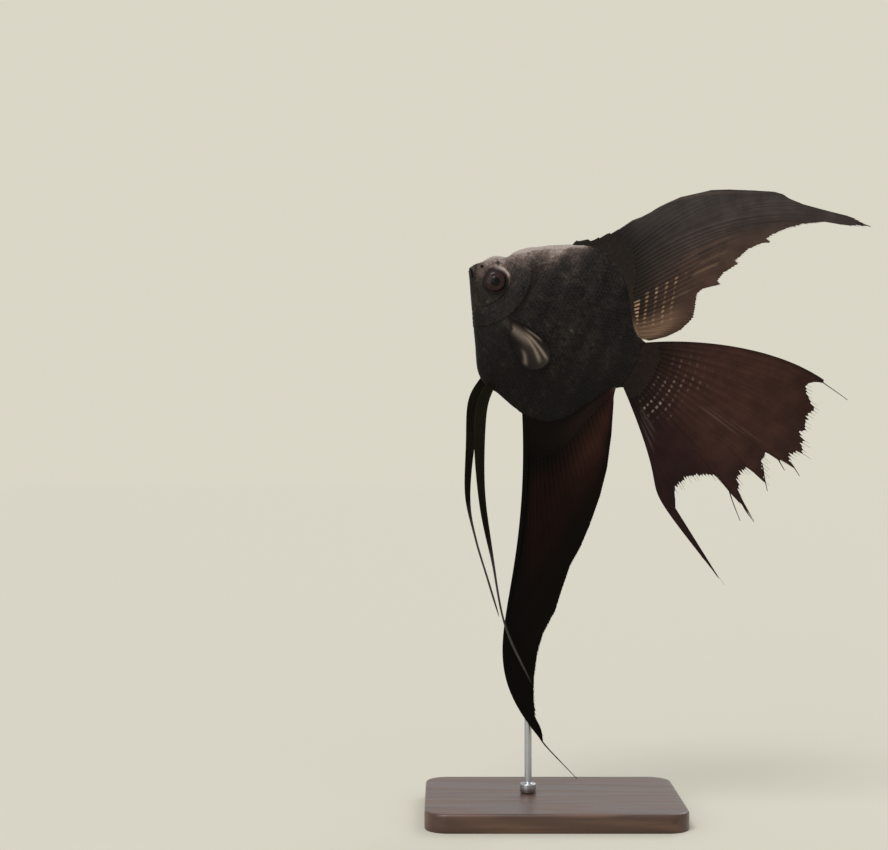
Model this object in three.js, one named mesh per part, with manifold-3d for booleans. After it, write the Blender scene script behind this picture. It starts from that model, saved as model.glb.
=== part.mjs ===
// A life-size still model of a black veil angelfish (Pterophyllum scalare), nose up as it hovers, on a
// display stand. Millimetres. The fish is drawn in its own frame and then pitched: x runs from the mouth
// to the tail, y to the fish's right and z towards its back, with the mouth at the origin. In the part's
// frame +Z is up, the fish looks along -X, and the origin is the middle of the stand's underside.
import * as THREE from "three";
import { mergeVertices } from "three/addons/utils/BufferGeometryUtils.js";
import Module from "manifold-3d";

const wasm = await Module();
wasm.setup();

// ---------------------------------------------------------------- driving dimensions
const PITCH_DEG = 27; // nose up
const MOUTH_AT = [-36.5, 0, 239.5]; // the mouth in the part's frame
const GAP = 0.3; // clearance between neighbouring pieces
const LEFT = -1;
const RIGHT = 1;

// Outlines of the body without its fins, as [distance behind the mouth, height]
const BACK = [
  [0, 0.8], [2, 4.3], [5.5, 8.6], [9.5, 11.6], [16, 17.3], [26, 24.8], [38, 31.2], [47, 34.2],
  [56, 32.4], [64, 27], [70, 19.5], [76, 10.8], [82, 6.9], [90, 6.5],
];
const BELLY = [
  [0, -0.9], [3.3, -6.5], [10.3, -17.9], [17.4, -29], [23.5, -38.6], [28, -42.2], [36, -43.6],
  [46, -46], [54, -47], [62, -45], [68, -39.5], [74, -29], [79, -20.5], [83, -16.7], [90, -16.4],
];
// The body's cross-sections, as [distance behind the mouth, half thickness at the widest, keel]. A keel of
// 1 is an ellipse, and more than 1 draws the back and belly together.
const SECTIONS = [
  [0, 1.3, 1], [2, 2.6, 1], [5, 4.1, 1], [9, 5.6, 1], [13, 6.6, 1.05], [20, 7.9, 1.15],
  [28, 8.6, 1.25], [36, 8.4, 1.35], [46, 7.4, 1.4], [56, 5.9, 1.4], [66, 4.2, 1.3], [76, 2.8, 1.1],
  [84, 1.9, 1], [90, 1.4, 1],
];
const BODY_END = 90; // the loft runs past the tail stalk, which is cut to an arc
const BODY_STATIONS = 32;
const BODY_AROUND = 24;

// Round cuts, as a centre in the fish's side view and a radius
const GILL_ARC = { x: 3, z: 0, r: 24.5 }; // head from trunk, along the gill opening
const STALK_ARC = { x: -30, z: -5, r: 102 }; // trunk from tail stalk
const TAIL_ARC = { x: 35, z: -5, r: 50 }; // tail stalk from tail fin

// Lower jaw in side view: gape, corner of the mouth, jaw joint, chin
const LOWER_JAW = [[-2, -0.1], [3.4, -2.9], [8.2, -9.8], [6.6, -14], [-2, -6]];
const GILL_COVER = { inner: 16.2, from: -52, to: 24, thick: 1.2 }; // a ring sector about GILL_ARC's centre

const EYE = { x: 12.9, z: -0.6, y: 5.0, r: 5.2, half: 3.0 }; // half is its half thickness across the fish

// ---------------------------------------------------------------- fins
// A fin in the middle plane is a plate of that outline [x, z], which runs on into the body. fan places a
// point of it by two shares: out, from the fin's root, start from the hub, to its reach, and turn, round
// the hub from the first direction to the last, in degrees. bend is how far it then lies to the side, and
// thick its thickness at the root and further out.
const DORSAL = {
  name: "fin_dorsal",
  outline: [
    [34, 26], [35.3, 31.8], [37.5, 32.6], [40.8, 35.2], [42.4, 34.8], [43.9, 38.4], [45.3, 37.6],
    [47.5, 42], [48.6, 41.8], [50.3, 45.1], [51.4, 45.4], [53.4, 50.5], [58.5, 56], [62.2, 62.2],
    [68.8, 70.9], [78.5, 79], [86.3, 83.2], [96.2, 87.8], [104.3, 91.3], [108.2, 92.1], [111.8, 91.7],
    [118.6, 92.3], [130.9, 94.8], [139.9, 97.1], [148.5, 96.4], [140.6, 92.8], [130.5, 89.7],
    [122.6, 84.6], [116.7, 79.1], [112.9, 74.4], [111.1, 71.3], [114.1, 71], [110.6, 69.2],
    [106, 63.8], [103.2, 56.8], [104.7, 55.7], [100.7, 49.1], [99.9, 44.7], [102, 44], [95.8, 39.2],
    [94.4, 35.6], [96.1, 30.5], [97.7, 25.4], [95.4, 18.3], [90.7, 12.4], [84.9, 8.2], [79, 6], [56, 20],
  ],
  fan: { x: 60, z: 10, start: 20, reach: 100, first: 110, last: 10 },
  bend: (out, turn) => 3 * out * Math.sin(Math.PI * (1.7 * out - 1.2 * turn)),
  thick: [1.5, 0.6],
};
const CAUDAL = {
  name: "fin_caudal",
  outline: [
    [82.5, 5.2], [87, 8.3], [93, 11.6], [101, 15.2], [110, 18.7], [120.5, 22], [131, 24.6], [142, 26.8],
    [153, 28.2], [158, 28.1], [161, 27], [174.8, 24.8], [174.2, 24], [161, 25.4], [157.6, 24.2],
    [156.4, 21.8], [159.1, 18], [165.5, 13.7], [163.8, 10.8], [164.5, 5.2], [166.4, 4.9], [163.5, 2],
    [167.4, -0.6], [166.8, -2.3], [169.8, -6.1], [166.6, -6.9], [164.5, -9.6], [166.1, -11.9],
    [170.6, -15], [165.4, -13.3], [160.6, -12.6], [163.6, -15.6], [158.8, -13.4], [154.4, -12.7],
    [154.2, -17], [161, -27.1], [152.8, -23.2], [149.8, -23.2], [147.9, -28.1], [151.6, -34.9],
    [161.5, -42.1], [154, -38.3], [148.8, -37.2], [155.9, -44.3], [146.2, -36.4], [139.3, -32.5],
    [135.7, -33.3], [127.5, -38.6], [124.8, -46], [128.5, -53], [141.5, -61.4], [157.5, -70.6],
    [157.2, -71.3], [141.5, -63.5], [130.5, -58.3], [123.5, -54.5], [119.3, -51.6], [114.1, -45.8],
    [105.3, -35.3], [96.4, -26.7], [89, -20.3], [83, -15], [79, -5],
  ],
  fan: { x: 70, z: -3, start: 14, reach: 90, first: 20, last: -45 },
  bend: (out, turn) => 5 * out * out * Math.sin(Math.PI * (0.9 * turn + 0.35 * out)) - 2.5 * out * out,
  thick: [2.2, 0.6],
};
const ANAL = {
  name: "fin_anal",
  outline: [
    [48, -43.5], [55, -56.5], [61.4, -69], [66.2, -79.8], [70.6, -90.3], [77, -108.4], [81.7, -123.4],
    [86, -136], [91, -146.6], [98, -155.6], [108.3, -163.5], [123, -170.9], [142.8, -178.2],
    [143.5, -177.6], [131, -172.4], [124, -168], [117, -163.8], [111.5, -156], [107.4, -148],
    [103.8, -138], [102, -129], [102.2, -117.6], [100.5, -107.6], [99, -97], [99.3, -87.5],
    [98.5, -76.5], [96.8, -63.5], [93.6, -49.5], [88.2, -35], [83.6, -24], [81, -15], [64, -35],
  ],
  fan: { x: 62, z: -20, start: 22, reach: 156, first: -110, last: -10 },
  bend: (out, turn) => 2.6 * out * (1 - 0.6 * out) * Math.sin(Math.PI * (1.25 * out + 0.5 * turn)),
  thick: [1.7, 0.6],
};
const FIN_CELL = 8; // of the grid that these plates bend on
const THIN_FROM = 0.6; // the share out where a plate has thinned

// The pectoral fin starts on the flank and stands out from it. It is drawn over two shares: s from its
// front ray to its last, and t from its base out to its margin. Each ray is a cubic curve. base holds
// [s, x, z], rays holds [s, first direction in degrees, its pull, last direction, its pull], a pull being
// a share of the ray's length, and margin holds [s, x, z], straight between its points. sway is the fin's
// distance from the middle plane, and thick its thickness at the base and further out.
const PECTORAL = {
  base: [[0, 23.8, -12], [1, 25.4, -17.2]],
  rays: [[0, 8, 0.3, -12, 0.3], [0.5, -14, 0.3, -26, 0.3], [1, -40, 0.3, -42, 0.3]],
  margin: [
    [0, 41, -13.4], [0.15, 46, -15.2], [0.3, 48.4, -18], [0.5, 49.5, -22], [0.7, 48, -25.6],
    [0.85, 44.6, -28.2], [1, 40, -28.8],
  ],
  sway: (s, t) => 7.3 + 7.5 * t - 1.6 * t * t - 0.8 * s,
  thick: [1.2, 0.55],
  rows: 5,
};

// A pelvic fin is a blade along a bent line [share of its length, x, z, y], with its widths along that.
const PELVIC_WIDTH = [
  [0, 3.4], [0.08, 4.6], [0.2, 4.3], [0.35, 3.2], [0.48, 2.5], [0.6, 1.2], [0.75, 0.9], [1, 0.6],
];
const PELVIC_THICK = [1.5, 0.6];
const PELVIC_STEPS = 26;
const PELVIC_LINES = {
  fin_pelvic_left: [
    [31.6, -39, -1.4], [31.9, -50, -2.6], [38, -65, -4.4], [51, -88, -6], [67, -109.5, -7],
    [85, -132.5, -7.5], [107, -150, -7],
  ],
  fin_pelvic_right: [
    [28.2, -38.5, 1.4], [28.4, -50.7, 2.6], [34.8, -67, 4.2], [45.7, -91, 5.6], [57, -105.4, 6.4],
    [69.5, -118.5, 7], [82.5, -132, 7.5],
  ],
};

// ---------------------------------------------------------------- stand
const BASE = { length: 112, depth: 78, height: 8, corner: 10, bevel: 1.2 };
// The rod's top is inside the body before it is trimmed; ring is the foot ring's radius.
const ROD = { x: -10.5, y: 4.2, r: 1.6, top: 200, ring: 3.6, ringHeight: 4, ringBevel: 0.6 };

// ---------------------------------------------------------------- materials
const SKIN = { color: 0x231f1d, roughness: 0.45, metalness: 0 };
const FIN = { color: 0x35241f, roughness: 0.5, metalness: 0 };
const PALE_FIN = { color: 0x7d7067, roughness: 0.45, metalness: 0 };
const EYE_BLACK = { color: 0x0c0a0a, roughness: 0.08, metalness: 0 };
const WALNUT = { color: 0x4a3022, roughness: 0.5, metalness: 0 };
const STEEL = { color: 0xa8aaac, roughness: 0.3, metalness: 1 };

// ---------------------------------------------------------------- curves
// A smooth curve through the rows of a table [x, a, b, ...], read at x, as [a, b, ...].
function along(table, x) {
  const n = table.length;
  const at = Math.min(Math.max(x, table[0][0]), table[n - 1][0]);
  let i = 0;
  while (i < n - 2 && at > table[i + 1][0]) i += 1;
  const width = (k) => table[k + 1][0] - table[k][0];
  const slope = (k, c) => (table[k + 1][c] - table[k][c]) / width(k);
  const tangent = (k, c) => {
    if (k === 0) return slope(0, c);
    if (k === n - 1) return slope(n - 2, c);
    return (slope(k - 1, c) * width(k) + slope(k, c) * width(k - 1)) / (width(k - 1) + width(k));
  };
  const h = width(i);
  const q = (at - table[i][0]) / h;
  return table[i].slice(1).map((value, j) => {
    const c = j + 1;
    const a = 2 * q ** 3 - 3 * q ** 2 + 1;
    const b = q ** 3 - 2 * q ** 2 + q;
    const d = q ** 3 - q ** 2;
    return a * value + b * h * tangent(i, c) + (1 - a) * table[i + 1][c] + d * h * tangent(i + 1, c);
  });
}

// Straight between the rows of a table.
function straight(table, x) {
  let i = 0;
  while (i < table.length - 2 && x > table[i + 1][0]) i += 1;
  const share = (x - table[i][0]) / (table[i + 1][0] - table[i][0]);
  return table[i].slice(1).map((value, j) => THREE.MathUtils.lerp(value, table[i + 1][j + 1], share));
}

// Point of a fin's side view at the shares s and t.
function finPoint(fin, s, t) {
  const [baseX, baseZ] = along(fin.base, s);
  const [tipX, tipZ] = straight(fin.margin, s);
  const [firstDeg, firstPull, lastDeg, lastPull] = along(fin.rays, s);
  const length = Math.hypot(tipX - baseX, tipZ - baseZ);
  const first = THREE.MathUtils.degToRad(firstDeg);
  const last = THREE.MathUtils.degToRad(lastDeg);
  const k = [(1 - t) ** 3, 3 * t * (1 - t) ** 2, 3 * t * t * (1 - t), t ** 3];
  return [
    (k[0] + k[1]) * baseX + k[1] * firstPull * length * Math.cos(first) +
      (k[2] + k[3]) * tipX - k[2] * lastPull * length * Math.cos(last),
    (k[0] + k[1]) * baseZ + k[1] * firstPull * length * Math.sin(first) +
      (k[2] + k[3]) * tipZ - k[2] * lastPull * length * Math.sin(last),
  ];
}

// ---------------------------------------------------------------- solids
// A three.js geometry as a closed solid with its faces pointing out.
function solid(geometry) {
  const bare = geometry.clone();
  bare.deleteAttribute("normal");
  bare.deleteAttribute("uv");
  const merged = mergeVertices(bare, 1e-4);
  const vertProperties = merged.attributes.position.array;
  const triVerts = new Uint32Array(merged.index.array);
  const build = () => new wasm.Manifold(new wasm.Mesh({ numProp: 3, vertProperties, triVerts }));
  const made = build();
  if (made.volume() > 0) return made;
  for (let i = 0; i < triVerts.length; i += 3) {
    [triVerts[i + 1], triVerts[i + 2]] = [triVerts[i + 2], triVerts[i + 1]];
  }
  return build();
}

// Moves every vertex of a geometry by shape(x, y, z), which returns the new point.
function reshape(geometry, shape) {
  const p = geometry.attributes.position;
  for (let i = 0; i < p.count; i += 1) p.setXYZ(i, ...shape(p.getX(i), p.getY(i), p.getZ(i), i));
  return geometry;
}

function mesh(name, shape, finish) {
  const { vertProperties, triVerts } = shape.getMesh();
  const geometry = new THREE.BufferGeometry();
  geometry.setAttribute("position", new THREE.BufferAttribute(new Float32Array(vertProperties), 3));
  geometry.setIndex(new THREE.BufferAttribute(new Uint32Array(triVerts), 1));
  geometry.computeVertexNormals();
  const made = new THREE.Mesh(geometry, new THREE.MeshStandardMaterial(finish));
  made.name = name;
  return made;
}

// The body from snout to tail, grown or shrunk all round.
function body(grow) {
  const ball = new THREE.SphereGeometry(1, BODY_AROUND, BODY_STATIONS);
  const uv = ball.attributes.uv;
  return solid(
    reshape(ball, (_x, _y, _z, i) => {
      const station = 1 - uv.getY(i);
      const x = BODY_END * station ** 1.25;
      const angle = 2 * Math.PI * uv.getX(i);
      const [top] = along(BACK, x);
      const [bottom] = along(BELLY, x);
      const [width, keel] = along(SECTIONS, x);
      const ends = station === 0 || station === 1 ? 0 : 1;
      const half = ends * ((top - bottom) / 2 + grow);
      const side = Math.cos(angle);
      const nose = station === 0 ? -0.5 - grow : 0;
      const y = ends * (width + grow) * Math.sign(side) * Math.abs(side) ** keel;
      return [x + nose, Math.abs(y) < 1e-9 ? 0 : y, (top + bottom) / 2 + half * Math.sin(angle)];
    }),
  );
}

// A round cutting shape, right through the fish.
const THROUGH = 60;
function disc({ x, z, r }, grow = 0) {
  return solid(new THREE.CylinderGeometry(r + grow, r + grow, THROUGH, 72).translate(x, 0, z));
}

// An outline in side view, cut right through the fish.
function prism(points) {
  const shape = new THREE.Shape(points.map(([x, z]) => new THREE.Vector2(x, z)));
  const geometry = new THREE.ExtrudeGeometry(shape, { depth: THROUGH, bevelEnabled: false });
  return solid(geometry.rotateX(Math.PI / 2).translate(0, THROUGH / 2, 0));
}

// The body's side view grown by the gap, cut right through: what a fin in the middle plane stops at.
function outline() {
  const steps = 60;
  const stations = Array.from({ length: steps + 1 }, (_, i) => (BODY_END * i) / steps);
  const above = stations.map((x) => [x, along(BACK, x)[0] + GAP]);
  const below = stations.map((x) => [x, along(BELLY, x)[0] - GAP]).reverse();
  return prism([...above, ...below]).intersect(disc(TAIL_ARC, GAP).add(disc(STALK_ARC)));
}

// The gill cover's ring sector in side view, grown all round and cut right through.
function sector({ inner, from, to }, grow) {
  const { x, z, r } = GILL_ARC;
  const first = THREE.MathUtils.degToRad(from) - grow / r;
  const last = THREE.MathUtils.degToRad(to) + grow / r;
  const steps = 12;
  const angles = Array.from({ length: steps + 1 }, (_, i) => THREE.MathUtils.lerp(first, last, i / steps));
  const ring = (radius, list) => list.map((a) => [x + radius * Math.cos(a), z + radius * Math.sin(a)]);
  return prism([...ring(r + 2, angles), ...ring(inner - grow, [...angles].reverse())]);
}

// Everything on one side of the middle plane.
const halfOf = (side) => solid(new THREE.BoxGeometry(300, 40, 400).translate(0, side * 20.2, 0));

function eyeball(side, grow = 0) {
  const ball = new THREE.SphereGeometry(1, 20, 10).rotateX(Math.PI / 2);
  ball.scale(EYE.r + grow, EYE.half + grow, EYE.r + grow);
  return solid(ball.translate(EYE.x, side * EYE.y, EYE.z));
}

// A thin closed sheet over shares s and t, half its thickness to either side of sway(s, t).
function sheet(place, sway, thick, columns, rows) {
  const box = new THREE.BoxGeometry(1, 1, 1, columns.length - 1, rows, 1);
  return solid(
    reshape(box, (x, y, z) => {
      const s = columns[Math.round((x + 0.5) * (columns.length - 1))];
      const t = y + 0.5;
      const [px, pz] = place(s, t);
      return [px, sway(s, t) + z * (thick[0] + (thick[1] - thick[0]) * Math.min(1, 1.4 * t)), pz];
    }),
  );
}

// A pectoral fin on one side.
function pectoralFin({ sway, thick, margin, rows, ...rays }, side) {
  const columns = margin.map(([s]) => s);
  const place = (s, t) => finPoint({ margin, ...rays }, s, t);
  return sheet(place, (s, t) => side * sway(s, t), thick, columns, rows);
}

// A fin in the middle plane, bent on a grid and then cut to its outline.
function medianFin({ outline, fan, bend, thick }) {
  const limits = new THREE.Box2().setFromPoints(outline.map(([x, z]) => new THREE.Vector2(x, z)));
  limits.expandByScalar(1);
  const size = limits.getSize(new THREE.Vector2());
  const middle = limits.getCenter(new THREE.Vector2());
  const cells = [Math.ceil(size.x / FIN_CELL), Math.ceil(size.y / FIN_CELL)];
  const slab = new THREE.BoxGeometry(size.x, 1, size.y, cells[0], 1, cells[1]);
  reshape(slab.translate(middle.x, 0, middle.y), (x, y, z) => {
    const away = Math.hypot(x - fan.x, z - fan.z);
    const out = Math.max(0, (away - fan.start) / fan.reach);
    const direction = THREE.MathUtils.radToDeg(Math.atan2(z - fan.z, x - fan.x));
    const turn = (direction - fan.first) / (fan.last - fan.first);
    const thin = Math.min(1, out / THIN_FROM);
    return [x, bend(out, turn) + y * THREE.MathUtils.lerp(thick[0], thick[1], thin), z];
  });
  return solid(slab).intersect(prism(outline));
}

// A long blade that lies along a bent line.
function pelvicFin(points) {
  const line = new THREE.CatmullRomCurve3(points.map(([x, z, y]) => new THREE.Vector3(x, y, z)));
  const place = (s, t) => {
    const at = line.getPointAt(t);
    const way = line.getTangentAt(t);
    const reach = (s - 0.5) * along(PELVIC_WIDTH, t)[0] / Math.hypot(way.x, way.z);
    return [at.x - way.z * reach, at.z + way.x * reach];
  };
  return sheet(place, (_s, t) => line.getPointAt(t).y, PELVIC_THICK, [0, 0.5, 1], PELVIC_STEPS);
}

// ---------------------------------------------------------------- the fish
const fish = new THREE.Group();
fish.rotation.y = THREE.MathUtils.degToRad(PITCH_DEG);
fish.position.set(...MOUTH_AT);

const whole = body(0);
const swollen = body(GAP);
const halfGap = GAP / 2;

const shell = (outer, depth, grow) => outer.subtract(body(-depth)).intersect(sector(GILL_COVER, grow));
const coverRecess = shell(swollen, GILL_COVER.thick + GAP, GAP);
const sockets = eyeball(LEFT, GAP).add(eyeball(RIGHT, GAP));
const jawCut = prism(LOWER_JAW);
const jawRoom = jawCut.translate(GAP, 0, 0).add(jawCut.translate(0, 0, GAP));

const front = whole.intersect(disc(GILL_ARC, -halfGap));
fish.add(mesh("head", front.subtract(jawRoom).subtract(coverRecess).subtract(sockets), SKIN));
fish.add(mesh("lower_jaw", front.intersect(jawCut), SKIN));
fish.add(mesh("trunk", whole.subtract(disc(GILL_ARC, halfGap)).intersect(disc(STALK_ARC, -halfGap)), SKIN));
fish.add(mesh("tail_stalk", whole.subtract(disc(STALK_ARC, halfGap)).intersect(disc(TAIL_ARC)), SKIN));

const cover = shell(whole, GILL_COVER.thick, 0).intersect(disc(GILL_ARC, -halfGap));
const SIDES = [["left", LEFT], ["right", RIGHT]];
for (const [word, side] of SIDES) {
  fish.add(mesh(`gill_cover_${word}`, cover.intersect(halfOf(side)), SKIN));
  fish.add(mesh(`eye_${word}`, eyeball(side), EYE_BLACK));
  fish.add(mesh(`fin_pectoral_${word}`, pectoralFin(PECTORAL, side).subtract(swollen), PALE_FIN));
}

const bodySide = outline();
for (const spec of [DORSAL, CAUDAL, ANAL]) {
  fish.add(mesh(spec.name, medianFin(spec).subtract(bodySide), FIN));
}
for (const [name, points] of Object.entries(PELVIC_LINES)) {
  fish.add(mesh(name, pelvicFin(points).subtract(swollen), FIN));
}

// ---------------------------------------------------------------- the stand
function roundedPlate({ length, depth, height, corner, bevel }) {
  const x = length / 2 - bevel;
  const y = depth / 2 - bevel;
  const r = corner - bevel;
  const shape = new THREE.Shape();
  shape.moveTo(-x + r, -y);
  shape.lineTo(x - r, -y);
  shape.absarc(x - r, -y + r, r, -Math.PI / 2, 0);
  shape.lineTo(x, y - r);
  shape.absarc(x - r, y - r, r, 0, Math.PI / 2);
  shape.lineTo(-x + r, y);
  shape.absarc(-x + r, y - r, r, Math.PI / 2, Math.PI);
  shape.lineTo(-x, -y + r);
  shape.absarc(-x + r, -y + r, r, Math.PI, 1.5 * Math.PI);
  const options = { depth: height - 2 * bevel, bevelThickness: bevel, bevelSize: bevel, bevelSegments: 1 };
  return solid(new THREE.ExtrudeGeometry(shape, { ...options, curveSegments: 6 }).translate(0, 0, bevel));
}

// The rod, from a foot ring on the base straight up into the far flank of the belly.
function rod() {
  const foot = BASE.height + GAP;
  const { r, top, ring, ringHeight, ringBevel } = ROD;
  const shoulder = foot + ringHeight;
  const profile = [
    [0, foot], [ring, foot], [ring, shoulder - ringBevel], [ring - ringBevel, shoulder], [r, shoulder],
    [r, top], [0, top],
  ];
  const turned = new THREE.LatheGeometry(profile.map(([x, y]) => new THREE.Vector2(x, y)), 20);
  return solid(turned.rotateX(Math.PI / 2).translate(ROD.x, ROD.y, 0));
}

fish.updateMatrix();
const bodyInPlace = swollen.transform(fish.matrix.elements);

const stand = new THREE.Group();
stand.add(mesh("stand_base", roundedPlate(BASE), WALNUT));
stand.add(mesh("stand_rod", rod().subtract(bodyInPlace), STEEL));

const part = new THREE.Group();
part.add(fish, stand);
export default part;
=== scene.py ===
# The looks of a life-size black veil angelfish (Pterophyllum scalare) on its display stand, built round its
# CAD frame. The fish is drawn in its own frame in millimetres: x runs from the mouth to the tail, y to its
# right and z towards its back, with the mouth at the origin. It is then pitched nose up, as in the frame.
import math

import bpy
import numpy as np
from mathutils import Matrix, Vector


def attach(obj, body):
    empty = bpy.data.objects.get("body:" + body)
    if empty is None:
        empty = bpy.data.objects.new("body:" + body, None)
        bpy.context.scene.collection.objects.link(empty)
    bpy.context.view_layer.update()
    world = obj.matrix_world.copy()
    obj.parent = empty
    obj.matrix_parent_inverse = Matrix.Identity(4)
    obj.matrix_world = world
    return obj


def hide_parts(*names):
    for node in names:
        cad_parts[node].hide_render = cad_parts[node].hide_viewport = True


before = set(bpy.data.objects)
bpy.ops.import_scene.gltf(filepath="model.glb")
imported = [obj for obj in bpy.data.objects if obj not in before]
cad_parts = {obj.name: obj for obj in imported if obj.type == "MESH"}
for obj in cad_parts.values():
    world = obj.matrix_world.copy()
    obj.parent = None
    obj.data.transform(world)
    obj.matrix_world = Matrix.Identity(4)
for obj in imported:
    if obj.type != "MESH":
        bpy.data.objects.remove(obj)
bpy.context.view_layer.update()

# ---------------------------------------------------------------- driving values, as in the CAD
MM = 0.001
PITCH_DEG = 27
MOUTH_AT = (-36.5, 0, 239.5)
SIDES = {"left": -1, "right": 1}

# Outlines of the body without its fins, as [distance behind the mouth, height]
BACK = [
    [0, 0.8], [2, 4.3], [5.5, 8.6], [9.5, 11.6], [16, 17.3], [26, 24.8], [38, 31.2], [47, 34.2],
    [56, 32.4], [64, 27], [70, 19.5], [76, 10.8], [82, 6.9], [90, 6.5],
]
BELLY = [
    [0, -0.9], [3.3, -6.5], [10.3, -17.9], [17.4, -29], [23.5, -38.6], [28, -42.2], [36, -43.6],
    [46, -46], [54, -47], [62, -45], [68, -39.5], [74, -29], [79, -20.5], [83, -16.7], [90, -16.4],
]
# The body's cross-sections, as [distance behind the mouth, half thickness at the widest, keel]
SECTIONS = [
    [0, 1.3, 1], [2, 2.6, 1], [5, 4.1, 1], [9, 5.6, 1], [13, 6.6, 1.05], [20, 7.9, 1.15],
    [28, 8.6, 1.25], [36, 8.4, 1.35], [46, 7.4, 1.4], [56, 5.9, 1.4], [66, 4.2, 1.3], [76, 2.8, 1.1],
    [84, 1.9, 1], [90, 1.4, 1],
]
COAT = 0.3  # depth of the scales, by which the skin lies inside the solids
NOSE = -0.5 + COAT  # the foremost point of the skin
BODY_END = 85.5  # where the skin ends inside the tail fin's root
EYE = {"x": 12.9, "y": 5.0, "z": -0.6, "r": 5.2, "half": 3.0}
GILL = {"x": 3, "z": 0}

# A fin's rays run over two shares: s from its first ray to its last, and t from its base out. base holds
# [s, x, z], rays holds [s, first direction in degrees, its pull, last direction, its pull], a pull being a
# share of the ray's length, and margin holds [s, x, z] of the rays' ends. groups holds the rays as
# [from s, to s, count, branches], rows how many points each has, stout how high it stands at its root and tip
# and how thick the fin's root is, and fray how ragged the margin is, and from which s to which.
# A fin in the middle plane is then trimmed to its outline [x, z], as the solid is, and fan and bend say how
# far it lies to the side. Its scales reach out as in sheath, as [s, mm from its base], its rays' tips by up
# to the share reach of their length, and hairs holds its long threads as ([[x, z], ...], radius).
DORSAL = {
    "base": [
        [0, 35, 28], [0.15, 41, 30.3], [0.3, 48, 32], [0.45, 56, 30.3], [0.6, 63, 25.6],
        [0.75, 69, 18.6], [0.9, 74.5, 11], [1, 79, 6],
    ],
    "rays": [
        [0, 70, 0.3, 62, 0.3], [0.19, 74, 0.35, 70, 0.3], [0.31, 75, 0.4, 62, 0.3],
        [0.38, 73, 0.43, 52, 0.3], [0.45, 70, 0.45, 36, 0.3], [0.5, 67, 0.45, 20, 0.3],
        [0.54, 64, 0.44, 10, 0.3], [0.6, 61, 0.42, 8, 0.3], [0.7, 52, 0.36, 16, 0.3],
        [0.85, 36, 0.36, 22, 0.3], [1, 14, 0.3, 6, 0.3],
    ],
    "margin": [
        [0, 36.5, 32.5], [0.1, 42.5, 37], [0.2, 49, 44.6], [0.28, 57, 55.5], [0.34, 67, 69],
        [0.4, 82.5, 82], [0.45, 97, 89.5], [0.5, 113, 94], [0.54, 149.5, 97.5], [0.58, 142, 91.5],
        [0.62, 132, 87.5], [0.66, 123.5, 82.5], [0.69, 118, 77.5], [0.72, 115, 71.5],
        [0.76, 110.5, 63.5], [0.8, 106.5, 55], [0.84, 103.5, 46], [0.89, 100, 36], [0.93, 98.5, 26.5],
        [0.97, 95.5, 16.5], [1, 85, 7.5],
    ],
    "outline": [
        [34, 26], [35.3, 31.8], [37.5, 32.6], [40.8, 35.2], [42.4, 34.8], [43.9, 38.4], [45.3, 37.6],
        [47.5, 42], [48.6, 41.8], [50.3, 45.1], [51.4, 45.4], [53.4, 50.5], [58.5, 56], [62.2, 62.2],
        [68.8, 70.9], [78.5, 79], [86.3, 83.2], [96.2, 87.8], [104.3, 91.3], [108.2, 92.1],
        [111.8, 91.7], [118.6, 92.3], [130.9, 94.8], [139.9, 97.1], [148.5, 96.4], [140.6, 92.8],
        [130.5, 89.7], [122.6, 84.6], [116.7, 79.1], [112.9, 74.4], [111.1, 71.3], [114.1, 71],
        [110.6, 69.2], [106, 63.8], [103.2, 56.8], [104.7, 55.7], [100.7, 49.1], [99.9, 44.7],
        [102, 44], [95.8, 39.2], [94.4, 35.6], [96.1, 30.5], [97.7, 25.4], [95.4, 18.3], [90.7, 12.4],
        [84.9, 8.2], [79, 6], [56, 20],
    ],
    "fan": {"x": 60, "z": 10, "start": 20, "reach": 100, "first": 110, "last": 10},
    "bend": lambda out, turn: 3 * out * np.sin(math.pi * (1.7 * out - 1.2 * turn)),
    "groups": [[0, 0.44, 12, 1], [0.44, 1, 24, 4]],
    "rows": 76,
    "stout": (0.22, 0.06, 0.45),
    "fray": (0.02, 0.53, 0.97),
    "sheath": [[0, 2], [0.15, 5], [0.3, 11], [0.45, 10], [0.6, 5.2], [0.72, 1], [1, 0.2]],
    "reach": 0.012,
    "hairs": [([[142, 95.6], [149, 96.6]], 0.4)],
}
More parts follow.
